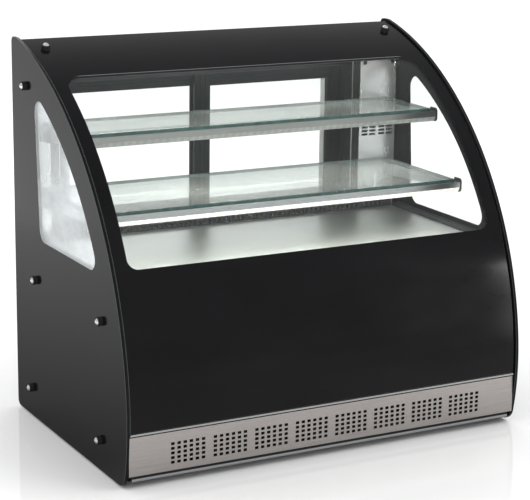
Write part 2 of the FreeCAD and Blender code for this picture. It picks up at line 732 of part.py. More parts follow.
def shelf_brackets(front_y, top):
    """Pair of tapered arms from the rear posts to the light profile."""
    z1 = top - SHELF_T
    y0 = front_y + LED_DEPTH
    arm = prism_x(((y0, z1), (y0, z1 - ARM_FRONT_H), (POST_FRONT_Y, z1 - ARM_REAR_H),
                   (POST_FRONT_Y, z1)), -SHELF_HALF_X - SHEET - ARM_T, -SHELF_HALF_X - SHEET)
    ledge = box(-SHELF_HALF_X - ARM_T, -SHELF_HALF_X + ARM_T * 3, y0, POST_FRONT_Y, z1 - SHEET, z1)
    arm = arm.fuse(ledge).removeSplitter()
    return group((arm, mirrored(arm)))


def top_light_bar(start, end):
    """Prism under the front glass between two leans, in degrees from the light's middle."""
    low, high = (math.radians(TOP_LED_ANGLE + a) for a in (start, end))
    near = FRONT_INSET + GLASS_T + 0.7
    deep = near + TOP_LED_DEPTH
    corners = [on_front(near, low), on_front(near, high), on_front(deep, high), on_front(deep, low)]
    return prism_x([(c.y, c.z) for c in corners], -TOP_LED_HALF_X, TOP_LED_HALF_X)


def top_led_housing():
    """Aluminium light profile bonded inside the front glass above the clear area."""
    return top_light_bar(-1.0, 1.0)


def top_led_lens():
    """Lens on the lower edge of the top light."""
    return top_light_bar(-1.4, -1.0)


# ---------------------------------------------------------------- refrigeration
class Fan:
    """Axial fan blowing along Y: plate with opening, motor on a bridge, rotor with shaft."""

    def __init__(self, x, z, plate_y, tip_r, hub_r, depth, plate_box):
        self.x, self.z, self.plate_y = x, z, plate_y
        self.tip_r, self.hub_r, self.depth = tip_r, hub_r, depth
        self.plate_box = plate_box
        self.rotor_y = plate_y + SHEET + 5
        self.motor_y = self.rotor_y + depth + 5

    def at(self, y):
        return Vec(self.x, y, self.z)

    def shroud(self):
        x0, x1, z0, z1 = self.plate_box
        plate = box(x0, x1, self.plate_y, self.plate_y + SHEET, z0, z1)
        return plate.cut(rod(self.tip_r + 4, self.at(self.plate_y - 1), self.at(self.plate_y + SHEET + 1)))

    def motor(self, foot_z):
        """Motor can with a foot bracket standing on foot_z."""
        y0, y1 = self.motor_y, self.motor_y + MOTOR_L
        can_r = self.hub_r + 6
        can = rod(can_r, self.at(y0), self.at(y1))
        foot = box(self.x - 14, self.x + 14, y0 + 12, y1 - 8, foot_z, self.z - can_r + 4)
        pad = box(self.x - 34, self.x + 34, y0 + 8, y1 - 4, foot_z, foot_z + 3)
        bore = rod(SHAFT_R + SHAFT_PLAY, self.at(y0 - 1), self.at(y0 + 26))
        return can.fuse(foot).fuse(pad).removeSplitter().cut(bore)

    def rotor(self):
        """Hub, pitched blades and shaft as one turned and pressed piece."""
        y0, y1 = self.rotor_y, self.rotor_y + self.depth
        mid = (y0 + y1) / 2
        body = rod(self.hub_r, self.at(y0), self.at(y1))
        blade_l = self.tip_r - self.hub_r + 3
        for k in range(BLADES):
            blade = box(self.hub_r - 3, self.hub_r - 3 + blade_l, -1.0, 1.0, -self.tip_r * 0.36,
                        self.tip_r * 0.36)
            blade.rotate(Vec(0, 0, 0), Vec(1, 0, 0), BLADE_PITCH)
            blade = blade.common(Part.makeBox(400, self.depth, 400, Vec(-200, -self.depth / 2, -200)))
            blade.rotate(Vec(0, 0, 0), Vec(0, 1, 0), 360 / BLADES * k)
            blade.translate(self.at(mid))
            body = body.fuse(blade)
        keep = rod(self.tip_r, self.at(y0), self.at(y1))
        return body.common(keep).fuse(rod(SHAFT_R, self.at(y1 - 2), self.at(self.motor_y + 25)))


COIL_FLOOR = (PAN_Z + SHEET, WELL_LOW + FOAM + LINER_T)
CONDENSER = Fan(x=-215.0, z=108.0, plate_y=-176.0, tip_r=78.0, hub_r=24.0, depth=26.0,
                plate_box=(-320.0, -110.0, COIL_FLOOR[0], COIL_TOP[0]))
EVAPORATOR = Fan(x=-60.0, z=300.0, plate_y=22.0, tip_r=55.0, hub_r=19.0, depth=20.0,
                 plate_box=(-200.0, 150.0, COIL_FLOOR[1], COIL_TOP[1]))


def finned_coil(x0, x1, y0, y1, z0, z1, tubes):
    """Fin block with end plates and the return bends of its tubes."""
    block = box(x0 + 4, x1 - 4, y0 + 2, y1 - 2, z0 + 2, z1 - 2)
    for x in (x0 + 2, x1 - 4):
        block = block.fuse(box(x, x + SHEET, y0, y1, z0, z1))
    mid = (y0 + y1) / 2
    step = (z1 - z0) / (tubes + 1)
    for k in range(tubes):
        z = z0 + step * (k + 1)
        for x in (x0, x1):
            inward = 5 if x == x0 else -5
            bend = Part.makeTorus(step * 0.3, 3.0, Vec(x + inward * 0.6, mid, z), Vec(0, 1, 0))
            block = block.fuse(bend.common(box(x0 - 20, x1 + 20, y0, y1, z0, z1)))
    return block.removeSplitter()


def condenser_coil():
    x0, x1, z0, z1 = CONDENSER.plate_box
    return finned_coil(x0, x1, *CONDENSER_Y, z0, z1, 6)


def evaporator_coil():
    x0, x1, z0, z1 = EVAPORATOR.plate_box
    return finned_coil(x0, x1, *EVAPORATOR_Y, z0, z1, 5)


def compressor():
    """Hermetic compressor: domed can on a base plate with four rubber mounts."""
    can = Part.makeCylinder(COMP_R, COMP_HIGH - COMP_LOW, Vec(COMP_X, COMP_Y, COMP_LOW))
    can = can.makeFillet(COMP_DOME_R, [e for e in can.Edges if e.Closed])
    plate = box(COMP_X - 92, COMP_X + 92, COMP_Y - 50, COMP_Y + 50, COMP_LOW - 2, COMP_LOW + 3)
    body = can.fuse(plate)
    floor = PAN_Z + SHEET
    for x in (COMP_X - 80, COMP_X + 80):
        for y in (COMP_Y - 38, COMP_Y + 38):
            body = body.fuse(Part.makeCylinder(10, COMP_LOW - 2 - floor, Vec(x, y, floor)))
    stub = rod(5, Vec(COMP_X - COMP_R + 8, COMP_Y, PIPE_Z), Vec(PIPE_X + 4.5, COMP_Y, PIPE_Z))
    return body.fuse(stub).removeSplitter()


def pipe_hole():
    return Part.makeCylinder(8.0, FOAM + LINER_T + 4, Vec(PIPE_X, COMP_Y, WELL_LOW - 1))


def bent_tube(points, radius, bend):
    """Round tube of straight runs joined by tangent arcs."""
    edges = []
    start = points[0]
    for before, corner, after in zip(points, points[1:], points[2:]):
        come = corner.sub(before).normalize()
        go = after.sub(corner).normalize()
        into = corner.sub(come * bend)
        out = corner.add(go * bend)
        middle = corner.add((go - come) * bend * (1 - math.sqrt(0.5)))
        edges += [line(start, into), Part.Arc(into, middle, out).toShape()]
        start = out
    edges.append(line(start, points[-1]))
    path = Part.Wire(edges)
    way = points[1].sub(points[0])
    section = Part.Wire(Part.makeCircle(radius, points[0], way))
    return path.makePipeShell([section], True, False)


def refrigerant_pipes():
    """Suction line from the well floor down past the compressor, and the discharge line."""
    suction = bent_tube([
        Vec(PIPE_X, COMP_Y, SUCTION_Z + 100), Vec(PIPE_X, COMP_Y, SUCTION_Z),
        Vec(PIPE_X, COMP_Y + 70, SUCTION_Z),
    ], PIPE_R, PIPE_BEND)
    coil_y = sum(CONDENSER_Y) / 2
    coil_x = CONDENSER.plate_box[1] + 7
    turn_x = PIPE_X - 100
    discharge = bent_tube([
        Vec(PIPE_X, COMP_Y, PIPE_Z), Vec(turn_x, COMP_Y, PIPE_Z), Vec(turn_x, coil_y, PIPE_Z),
        Vec(coil_x, coil_y, PIPE_Z),
    ], PIPE_R, PIPE_BEND)
    return group((suction, discharge))


# ---------------------------------------------------------------- controls
FASCIA_FRONT = COVER_Y + COVER_T
FASCIA_FACE = FASCIA_FRONT + FASCIA_PROUD


def controller_body():
    """Control fascia: display window, three button openings and a switch opening."""
    (x0, x1), (z0, z1) = FASCIA_X, FASCIA_Z
    body = box(x0, x1, FASCIA_FRONT, FASCIA_FACE, z0, z1)
    body = body.fuse(box(x0 + 6, x1 - 6, FASCIA_FRONT - 20, FASCIA_FRONT, z0 + 6, z1 - 6)).removeSplitter()
    half_w, half_h = BUTTON_W / 2 + BUTTON_PLAY, BUTTON_H / 2 + BUTTON_PLAY
    cuts = [box(*DISPLAY_X, FASCIA_FACE - 1.0, FASCIA_FACE + 1, *DISPLAY_Z)]
    cuts += [box(x - half_w, x + half_w, FASCIA_FACE - 6, FASCIA_FACE + 1, BUTTON_Z - half_h,
                 BUTTON_Z + half_h) for x in BUTTON_XS]
    half_w, half_h = ROCKER_HALF_W + 0.5, ROCKER_HALF_H + 1.2
    cuts.append(box(ROCKER_X - half_w, ROCKER_X + half_w, FASCIA_FRONT - 17, FASCIA_FACE + 1,
                    ROCKER_Z - half_h, ROCKER_Z + half_h))
    return body.cut(group(cuts))


def push_button(x):
    """Button standing proud of the fascia, free to travel inwards."""
    return box(x - BUTTON_W / 2, x + BUTTON_W / 2, FASCIA_FACE - 4, FASCIA_FACE + BUTTON_PROUD,
               BUTTON_Z - BUTTON_H / 2, BUTTON_Z + BUTTON_H / 2)


def power_rocker():
    """Rocker with a shallow V face, turned by half its throw at rest."""
    y, z = FASCIA_FACE - 9.5, ROCKER_Z
    x0, x1 = ROCKER_X - ROCKER_HALF_W, ROCKER_X + ROCKER_HALF_W
    drum = rod(ROCKER_R - 0.6, Vec(x0, y, z), Vec(x1, y, z)).common(box(x0, x1, y - 7, y + 4, z - 20, z + 20))
    face = prism_x(((y - 7, z - 9), (y + 9.8, z - 11.2), (y + 8.2, z), (y + 9.8, z + 11.2), (y - 7, z + 9)),
                   x0, x1)
    keep = rod(ROCKER_R + 0.4, Vec(x0, y, z), Vec(x1, y, z))
    rocker = drum.fuse(face).common(keep).removeSplitter()
    rocker.rotate(Vec(ROCKER_X, y, z), Vec(1, 0, 0), ROCKER_SET)
    return rocker


# ---------------------------------------------------------------- assembly
def build():
    left_glass = side_glass()
    left_side = base_side()
    left_door = (DOOR_LEFT, OUTER_DOOR_Y)
    right_door = (DOOR_RIGHT - DOOR_W, INNER_DOOR_Y)
    upper = (UPPER_SHELF_FRONT_Y, UPPER_SHELF_TOP)
    middle = (MIDDLE_SHELF_FRONT_Y, MIDDLE_SHELF_TOP)
    right_side = mirrored(left_side)
    return {
        "base_pan": base_pan(),
        "feet": feet(),
        "base_side_left": left_side,
        "base_side_right": right_side,
        "front_bulkhead": front_bulkhead(),
        "rear_sill": rear_sill(),
        "rear_service_panel": rear_service_panel(),
        "panel_screws": panel_screws(),
        "cable_gland": cable_gland(),
        "side_glass_left": left_glass,
        "side_glass_right": mirrored(left_glass),
        "front_glass": front_glass(),
        "front_glass_channel": front_glass_channel(),
        "front_grille": front_grille(),
        "standoff_spacers": along_studs(standoff_spacer),
        "standoff_collars": along_studs(standoff_collar),
        "standoff_caps": along_studs(standoff_cap),
        "well_insulation": well_insulation(),
        "well_liner": well_liner(),
        "deck_panel": deck_panel(),
        "deck_rails": deck_rails(),
        "rear_air_grille": rear_air_grille(),
        "rear_post_left": rear_post_left(),
        "air_column_right": air_column_right(),
        "top_housing": top_housing(),
        "top_track": top_track(),
        "bottom_track": bottom_track(),
        "door_jambs": door_jambs(),
        "top_led_housing": top_led_housing(),
        "left_door_frame": door_frame(*left_door),
        "left_door_glass": door_glass(*left_door),
        "left_door_pull": door_pull(*left_door, -1),
        "left_door_glides": door_glides(*left_door),
        "right_door_frame": door_frame(*right_door),
        "right_door_glass": door_glass(*right_door),
        "right_door_pull": door_pull(*right_door, 1),
        "right_door_glides": door_glides(*right_door),
        "upper_shelf_glass": shelf_glass(*upper),
        "upper_shelf_led_profile": led_profile(*upper),
        "upper_shelf_brackets": shelf_brackets(*upper),
        "middle_shelf_glass": shelf_glass(*middle),
        "middle_shelf_led_profile": led_profile(*middle),
        "middle_shelf_brackets": shelf_brackets(*middle),
        "led_diffusers": led_diffusers(),
        "shelf_led_end_caps": shelf_end_caps(),
        "evaporator_coil": evaporator_coil(),
        "evaporator_shroud": EVAPORATOR.shroud(),
        "evaporator_fan_motor": EVAPORATOR.motor(WELL_LOW + FOAM + LINER_T),
        "evaporator_fan": EVAPORATOR.rotor(),
        "condenser_coil": condenser_coil(),
        "condenser_shroud": CONDENSER.shroud(),
        "condenser_fan_motor": CONDENSER.motor(PAN_Z + SHEET),
        "condenser_fan": CONDENSER.rotor(),
        "compressor": compressor(),
        "refrigerant_pipes": refrigerant_pipes(),
        "controller_body": controller_body(),
        "set_button": push_button(BUTTON_XS[0]),
        "up_button": push_button(BUTTON_XS[1]),
        "down_button": push_button(BUTTON_XS[2]),
        "power_rocker": power_rocker(),
    }


os.makedirs("parts", exist_ok=True)
for name, shape in build().items():
    shape.exportStep("parts/" + name + ".step")
    sound = all(s.isValid() and s.isClosed() for s in shape.Solids)
    print(name, len(shape.Solids), "solids", "ok" if sound and shape.Solids else "BAD")
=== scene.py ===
import json
import math

import bmesh
import bpy
from mathutils import Matrix, Vector
from mathutils.geometry import tessellate_polygon

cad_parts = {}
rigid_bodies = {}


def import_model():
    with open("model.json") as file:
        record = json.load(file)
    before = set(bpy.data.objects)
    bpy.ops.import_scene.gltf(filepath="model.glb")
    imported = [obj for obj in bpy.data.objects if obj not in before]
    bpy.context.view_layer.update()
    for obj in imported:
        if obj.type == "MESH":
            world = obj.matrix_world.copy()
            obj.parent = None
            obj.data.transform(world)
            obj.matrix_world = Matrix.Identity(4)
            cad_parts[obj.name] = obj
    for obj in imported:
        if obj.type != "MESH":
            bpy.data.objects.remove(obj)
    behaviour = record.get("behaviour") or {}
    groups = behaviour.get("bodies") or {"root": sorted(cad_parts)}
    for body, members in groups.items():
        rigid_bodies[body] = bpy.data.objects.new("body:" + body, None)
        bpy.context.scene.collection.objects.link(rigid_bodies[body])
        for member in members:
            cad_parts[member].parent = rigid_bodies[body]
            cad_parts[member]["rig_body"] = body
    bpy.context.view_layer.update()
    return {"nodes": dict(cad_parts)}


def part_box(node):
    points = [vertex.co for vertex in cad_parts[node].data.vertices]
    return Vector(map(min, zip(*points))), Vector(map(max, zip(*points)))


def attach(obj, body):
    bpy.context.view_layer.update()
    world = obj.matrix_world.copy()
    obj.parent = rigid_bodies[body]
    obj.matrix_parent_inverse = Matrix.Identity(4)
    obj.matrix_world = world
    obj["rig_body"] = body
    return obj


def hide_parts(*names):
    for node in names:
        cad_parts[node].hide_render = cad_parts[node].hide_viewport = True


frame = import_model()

# Countertop bakery display case, metres, in the CAD row frame: +X right, -Y customer side, +Z up.

# ---------------------------------------------------------------- driving dimensions
LEFT_LOW, LEFT_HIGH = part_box("side_glass_left")
GLASS_T = LEFT_HIGH.x - LEFT_LOW.x
CASE_FRONT = LEFT_LOW.y
CASE_REAR = LEFT_HIGH.y
PANEL_LOW = LEFT_LOW.z
PANEL_TOP = LEFT_HIGH.z

KICK_R = 0.545                      # lower arc of the front profile
KICK_LEAN = math.radians(13.3)
JOIN_LEAN = math.radians(6.9)       # lean where the two arcs meet
FRONT_R = 0.709                     # upper arc
FRONT_INSET = 0.005                 # front glass behind the side glasses' edges
FRONT_TOP_LEAN = math.radians(77.0)
KICK_Y = CASE_FRONT + KICK_R
KICK_Z = PANEL_LOW + KICK_R * math.sin(KICK_LEAN)
FRONT_Y = KICK_Y + (FRONT_R - KICK_R) * math.cos(JOIN_LEAN)
FRONT_Z = KICK_Z - (FRONT_R - KICK_R) * math.sin(JOIN_LEAN)

WINDOW_HALF_X = 0.412               # clear part of the front glass
WINDOW_LOW_LEAN = math.radians(25.6)
WINDOW_TOP_LEAN = math.radians(63.2)
WINDOW_LOW_CORNER = 0.022
WINDOW_TOP_CORNER = 0.040
WINDOW_HIGHLIGHT_WIDTH = 0.0018                # width of the painted highlight line along the top of the clear part
SIDE_WINDOW_INSET = 0.064           # clear part of a side glass, behind its curved edge
SIDE_WINDOW_LOW = 0.398
SIDE_WINDOW_REAR = ((0.142, 0.398), (0.1655, 0.702))
ARRIS = 0.0008                      # ground edge of the glass

LOUVRE_SIZE = (0.150, 0.004)        # air slots of the rear cover: width and height
LOUVRE_PITCH = (0.180, 0.014)
LOUVRE_CENTRE = (-0.160, 0.130)
LOUVRE_COUNT = (3, 9)

DISPLAY_X = (0.2383, 0.3177)        # window of the temperature display
DISPLAY_Z = (0.3003, 0.3237)

CAMERA_PLACE = (-1.7462, -3.2113, 1.2644)
CAMERA_YAW, CAMERA_PITCH, CAMERA_ROLL = (math.radians(a) for a in (28.474, 13.854, 0.805))
CAMERA_LENS = 121.98                # millimetres, on a 36 mm sensor

MERGE = 2e-6                        # corners this close are one corner
SHARP = math.radians(38)            # edges sharper than this are softened


# ---------------------------------------------------------------- materials
def add_node(tree, kind, inputs=(), **settings):
    """Shader node whose inputs are linked from sockets or set to values."""
    made = tree.nodes.new("ShaderNode" + kind)
    for name, value in settings.items():
        setattr(made, name, value)
    for socket, value in dict(inputs).items():
        if isinstance(value, bpy.types.NodeSocket):
            tree.links.new(value, made.inputs[socket])
        else:
            made.inputs[socket].default_value = value
    return made


class Finish:
    """A procedural material built around one Principled shader."""

    def __init__(self, name, **values):
        self.material = bpy.data.materials.new(name)
        self.material.use_nodes = True
        self.tree = self.material.node_tree
        self.shader = self.tree.nodes["Principled BSDF"]
        self.place = None
        for socket, value in values.items():
            self.shader.inputs[socket.replace("_", " ")].default_value = value

    def node(self, kind, inputs=(), **settings):
        return add_node(self.tree, kind, inputs, **settings)

    def where(self, stretch=(1, 1, 1)):
        """Position in the case, in metres, scaled along each axis."""
        if self.place is None:
            self.place = self.node("TexCoord").outputs["Object"]
        return self.node("Mapping", {"Vector": self.place, "Scale": stretch}).outputs["Vector"]

    def noise(self, scale, stretch=(1, 1, 1), detail=3.0, rough=0.5):
        inputs = {"Vector": self.where(stretch), "Scale": scale, "Detail": detail, "Roughness": rough}
        return self.node("TexNoise", inputs).outputs["Fac"]

    def spread(self, value, low, high, start=0.3, end=0.7):
        inputs = {"Value": value, "From Min": start, "From Max": end, "To Min": low, "To Max": high}
        return self.node("MapRange", inputs).outputs["Result"]

    def tint(self, value, dark, light, start=0.3, end=0.7):
        ramp = self.node("ValToRGB", {"Fac": value})
        ramp.color_ramp.elements[0].position = start
        ramp.color_ramp.elements[0].color = (*dark, 1)
        ramp.color_ramp.elements[1].position = end
        ramp.color_ramp.elements[1].color = (*light, 1)
        return ramp.outputs["Color"]

    def maths(self, operation, *values):
        return self.node("Math", enumerate(values), operation=operation).outputs["Value"]

    def bump(self, height, strength, distance):
        inputs = {"Height": height, "Strength": strength, "Distance": distance}
        return self.node("Bump", inputs).outputs["Normal"]

    def drive(self, **sockets):
        for socket, value in sockets.items():
            self.tree.links.new(value, self.shader.inputs[socket.replace("_", " ")])
        return self.material


def black_print(name, dark, light, gloss, sheen):
    """Black enamel print seen through glass, faintly wiped."""
    finish = Finish(name, Specular_IOR_Level=sheen)
    wiped = finish.noise(3.5, (1, 1, 2.5), detail=5)
    dust = finish.noise(420, detail=2)
    return finish.drive(
        Base_Color=finish.tint(wiped, dark, light),
        Roughness=finish.spread(wiped, *gloss),
        Normal=finish.bump(dust, 0.012, 0.0004),
    )


def glass_edge():
    """Ground and polished edge of clear glass, deep green."""
    finish = Finish("glass_edge", Specular_IOR_Level=0.6)
    ground = finish.noise(900, detail=4)
    band = finish.noise(14, (6, 1, 1), detail=2)
    return finish.drive(
        Base_Color=finish.tint(band, (0.012, 0.045, 0.038), (0.045, 0.115, 0.098)),
        Roughness=finish.spread(ground, 0.16, 0.34),
        Normal=finish.bump(ground, 0.08, 0.0002),
    )


def grained(name, dark, light, gloss, grain, relief=None, **values):
    """Surface whose one fine grain drives colour, gloss and, where given, relief."""
    finish = Finish(name, **values)
    marks = finish.noise(**grain)
    sockets = {"Base_Color": finish.tint(marks, dark, light), "Roughness": finish.spread(marks, *gloss)}
    if relief:
        sockets["Normal"] = finish.bump(marks, *relief)
    return finish.drive(**sockets)


def matt_line_with_highlight(name, dark, light):
    """Pale grey matt line along an edge of the printed glass: a painted highlight, which on the arris also
    stands for the ground edge's own paler tone.
    """
    return grained(name, dark, light, (0.22, 0.38), {"scale": 1500, "detail": 3}, Specular_IOR_Level=0.5)


def polished(name, dark, light, low, high):
    """Bright plated or turned metal with fine handling marks."""
    return grained(name, dark, light, (low, high), {"scale": 160, "stretch": (1, 6, 6), "detail": 5},
                   (0.03, 0.0002), Metallic=1.0)


def clear_glass(name, tint, film, haze=((0.70, 0.72, 0.72), (0.86, 0.88, 0.88)), mirror=0.04, smears=5):
    """Thin architectural glass: light passes straight on, gloss follows Fresnel, with a faint film."""
    finish = Finish(name, Roughness=0.35, Specular_IOR_Level=0.4)
    smear = finish.noise(smears, (1, 1, 2), detail=6, rough=0.6)
    slant = finish.node("LayerWeight", {"Blend": 0.5}).outputs["Facing"]
    steep = finish.maths("POWER", slant, 5.0)
    fresnel = finish.spread(steep, mirror, 1.0, 0.0, 1.0)
    through = finish.node("BsdfTransparent", {"Color": (*tint, 1)}).outputs["BSDF"]
    polish = finish.spread(smear, 0.01, 0.06)
    gloss = finish.node("BsdfAnisotropic", {"Roughness": polish}).outputs["BSDF"]
    clean = finish.node("MixShader", {0: fresnel, 1: through, 2: gloss}).outputs["Shader"]
    finish.drive(Base_Color=finish.tint(smear, *haze))
    amount = finish.spread(smear, film * 0.4, film * 1.6)
    mixed = finish.node("MixShader", {0: amount, 1: clean, 2: finish.shader.outputs["BSDF"]})
    output = finish.tree.nodes["Material Output"]
    finish.tree.links.new(mixed.outputs["Shader"], output.inputs["Surface"])
    return finish.material


def brushed(name, dark, light, low, high, grain=(1.5, 260, 260), depth=0.05, metal=1.0):
    """Brushed metal; grain is the stretch of the brush lines along X, Y and Z."""
    finish = Finish(name, Metallic=metal)
    lines = finish.noise(9, grain, detail=6, rough=0.65)
    cloud = finish.noise(5, detail=3)
    return finish.drive(
        Base_Color=finish.tint(lines, dark, light, 0.25, 0.75),
        Roughness=finish.maths(
            "MULTIPLY", finish.spread(lines, low, high), finish.spread(cloud, 0.94, 1.06)),
        Normal=finish.bump(lines, depth, 0.0003),
    )


def coated(name, dark, light, low, high, peel=520, depth=0.10, sheen=0.45):
    """Powder coat or moulded plastic: soft colour drift and a fine peel."""
    finish = Finish(name, Specular_IOR_Level=sheen)
    drift = finish.noise(7, detail=4)
    skin = finish.noise(peel, detail=2)
    return finish.drive(
        Base_Color=finish.tint(drift, dark, light),
        Roughness=finish.spread(drift, low, high),
        Normal=finish.bump(skin, depth, 0.0004),
    )


def galvanised():
    """Zinc spangle on hidden sheet steel."""
    finish = Finish("galvanised", Metallic=0.85)
    cells = finish.node("TexVoronoi", {"Vector": finish.where(), "Scale": 70.0}).outputs["Color"]
    grey = finish.node("RGBToBW", {"Color": cells}).outputs["Val"]
    return finish.drive(
        Base_Color=finish.tint(grey, (0.36, 0.37, 0.38), (0.58, 0.59, 0.60), 0.2, 0.8),
        Roughness=finish.spread(grey, 0.36, 0.55, 0.2, 0.8),
    )


def foam():
    finish = Finish("foam", Specular_IOR_Level=0.2)
    cells = finish.node("TexVoronoi", {"Vector": finish.where(), "Scale": 900.0}).outputs["Distance"]
    return finish.drive(
        Base_Color=finish.tint(cells, (0.62, 0.52, 0.30), (0.78, 0.69, 0.44), 0.0, 0.7),
        Roughness=finish.spread(cells, 0.75, 0.95),
        Normal=finish.bump(cells, 0.35, 0.0006),
    )


def coil_fins():
    """Close aluminium fins standing across the coil; the dark bands between the light ones along X are
    painted shade in the gaps between fins.
    """
    finish = Finish("coil_fins", Metallic=0.9)
    gap_shade_bands = finish.node("TexWave", {"Vector": finish.where(), "Scale": 150.0, "Distortion": 0.4},
                        bands_direction="X").outputs["Fac"]
    return finish.drive(
        Base_Color=finish.tint(gap_shade_bands, (0.10, 0.10, 0.11), (0.62, 0.63, 0.65)),
        Roughness=finish.spread(gap_shade_bands, 0.30, 0.50),
        Normal=finish.bump(gap_shade_bands, 0.6, 0.0008),
    )


def light_lens(name, dark, light, low, high):
    """Opal lens with the light emitting diodes showing as a row of brighter spots."""
    finish = Finish(name, Roughness=0.4)
    spots = finish.node(
        "TexWave", {"Vector": finish.where(), "Scale": 18.9}, bands_direction="X").outputs["Fac"]
    return finish.drive(
        Base_Color=finish.tint(spots, dark, light),
        Emission_Color=finish.tint(spots, (1.0, 0.95, 0.87), (1.0, 0.98, 0.94)),
        Emission_Strength=finish.spread(spots, low, high, 0.1, 0.9),
    )


def digit_glow():
    finish = Finish("digit_glow", Emission_Strength=3.0)
    fine = finish.noise(900, detail=1)
    return finish.drive(
        Base_Color=finish.tint(fine, (0.25, 0.02, 0.01), (0.40, 0.04, 0.02)),
        Emission_Color=finish.tint(fine, (1.0, 0.10, 0.04), (1.0, 0.20, 0.08)),
    )


PRINT = black_print("black_print", (0.0034, 0.0034, 0.0038), (0.0056, 0.0056, 0.0062), (0.10, 0.19), 0.13)
PRINT_BACK = black_print("print_inside", (0.0050, 0.0052, 0.0055), (0.0080, 0.0084, 0.0088),
                         (0.30, 0.42), 0.05)
PRINT_EDGE = grained("printed_edge", (0.0025, 0.003, 0.003), (0.005, 0.006, 0.006), (0.18, 0.32),
                     {"scale": 800, "detail": 4}, (0.06, 0.0002), Specular_IOR_Level=0.16)
# Ground edge of the printed glass: partly its own matt tone, partly a painted highlight along the edges.
ARRIS_TONE_AND_HIGHLIGHT = matt_line_with_highlight("matt_line_with_highlight", (0.100, 0.108, 0.108), (0.160, 0.170, 0.170))
# Pale line along the top of the clear part of the front glass: a painted highlight along the print's edge.
WINDOW_HIGHLIGHT = matt_line_with_highlight("window_highlight_line", (0.110, 0.118, 0.122), (0.170, 0.180, 0.186))
CLEAR = clear_glass("clear_window", (0.970, 0.982, 0.976), 0.004, mirror=0.026)
# Whitish film on the left side window only: a painted reflection that brightens it, where the right window
# of the same glass stays clear.
LEFT_WINDOW_REFLECTION = clear_glass("window_painted_reflection", (0.965, 0.980, 0.985), 0.34, ((0.76, 0.80, 0.82), (0.85, 0.88, 0.90)),
                    smears=2.2)
PANE = clear_glass("shelf_pane", (0.945, 0.972, 0.962), 0.12, ((0.74, 0.78, 0.76), (0.90, 0.92, 0.91)))
DOOR_PANE = clear_glass("door_pane", (0.975, 0.985, 0.982), 0.015)
EDGE = glass_edge()
CAP_CHROME = polished("cap_chrome", (0.84, 0.84, 0.85), (0.96, 0.96, 0.97), 0.20, 0.32)
DARK_SCREW = polished("dark_screw", (0.035, 0.035, 0.038), (0.075, 0.075, 0.080), 0.28, 0.42)
PLATE = brushed("brushed_plate", (0.36, 0.332, 0.315), (0.58, 0.545, 0.522), 0.26, 0.40)
STEEL = brushed("satin_steel", (0.36, 0.37, 0.375), (0.56, 0.57, 0.575), 0.28, 0.42)
LINER = brushed("liner_steel", (0.50, 0.50, 0.51), (0.66, 0.66, 0.67), 0.22, 0.34, (260, 260, 1.5))
ALUMINIUM = brushed("bright_aluminium", (0.55, 0.57, 0.58), (0.76, 0.78, 0.79), 0.24, 0.36)
TRIM = brushed("trim_aluminium", (0.38, 0.39, 0.38), (0.54, 0.55, 0.54), 0.28, 0.40)
DECK = brushed("deck_steel", (0.62, 0.63, 0.615), (0.82, 0.83, 0.81), 0.28, 0.42)
DOOR_FRAME = brushed("anodised_grey", (0.016, 0.022, 0.019), (0.034, 0.042, 0.038), 0.34, 0.48,
                     (260, 260, 1.5))
DOOR_RAIL = brushed("anodised_grey_rail", (0.016, 0.020, 0.020), (0.034, 0.040, 0.040), 0.34, 0.48)
TRACK = coated("track_grey", (0.022, 0.025, 0.026), (0.034, 0.038, 0.040), 0.34, 0.46, sheen=0.30)
JAMB = coated("jamb_olive", (0.008, 0.010, 0.009), (0.014, 0.017, 0.015), 0.34, 0.46, sheen=0.22)
COLUMN = brushed("column_steel", (0.68, 0.69, 0.70), (0.84, 0.86, 0.87), 0.20, 0.30,
                 (5, 5, 0.8), 0.03, 0.72)
HOUSING = coated("housing_black", (0.009, 0.009, 0.010), (0.015, 0.015, 0.016), 0.36, 0.48, sheen=0.28)
BLACK_PLASTIC = coated("black_plastic", (0.012, 0.012, 0.013), (0.020, 0.020, 0.021), 0.32, 0.44, 900)
GREY_PLASTIC = coated("grey_plastic", (0.20, 0.205, 0.21), (0.26, 0.265, 0.27), 0.38, 0.50, 900)
LIGHT_PULL = coated("light_pull", (0.52, 0.53, 0.53), (0.62, 0.63, 0.63), 0.30, 0.40, 900)
ENAMEL = coated("machine_enamel", (0.010, 0.010, 0.011), (0.020, 0.020, 0.021), 0.20, 0.34, 260, 0.16)
ZINC = galvanised()
FOAM = foam()
FINS_AND_GAP_SHADE = coil_fins()
COPPER = grained("copper", (0.42, 0.17, 0.09), (0.78, 0.42, 0.28), (0.22, 0.42),
                 {"scale": 60, "detail": 6}, (0.05, 0.0003), Metallic=1.0)
RUBBER = grained("rubber", (0.010, 0.010, 0.010), (0.022, 0.022, 0.022), (0.55, 0.78),
                 {"scale": 700, "detail": 3}, (0.25, 0.0003), Specular_IOR_Level=0.3)
DIM_LENS = light_lens("dim_lens", (0.24, 0.25, 0.24), (0.27, 0.28, 0.27), 0.07, 0.10)
BRIGHT_LENS = light_lens("bright_lens", (0.60, 0.60, 0.58), (0.72, 0.72, 0.70), 0.60, 0.85)
DISPLAY = grained("display_window", (0.010, 0.002, 0.002), (0.024, 0.004, 0.004), (0.08, 0.14),
                  {"scale": 40, "detail": 2}, Specular_IOR_Level=0.6)
DIGITS = digit_glow()


# ---------------------------------------------------------------- mesh helpers
def profile(offset, lean):
    """(y, z) of the front profile, offset inwards, where the surface leans back by this angle."""
    if lean < JOIN_LEAN:
        radius = KICK_R - offset
        return KICK_Y - radius * math.cos(lean), KICK_Z + radius * math.sin(lean)
    radius = FRONT_R - offset
    return FRONT_Y - radius * math.cos(lean), FRONT_Z + radius * math.sin(lean)


def lean_at_z(offset, z):
    return math.asin((z - FRONT_Z) / (FRONT_R - offset))


def steps(start, end, count):
    return [start + (end - start) * k / count for k in range(count + 1)]


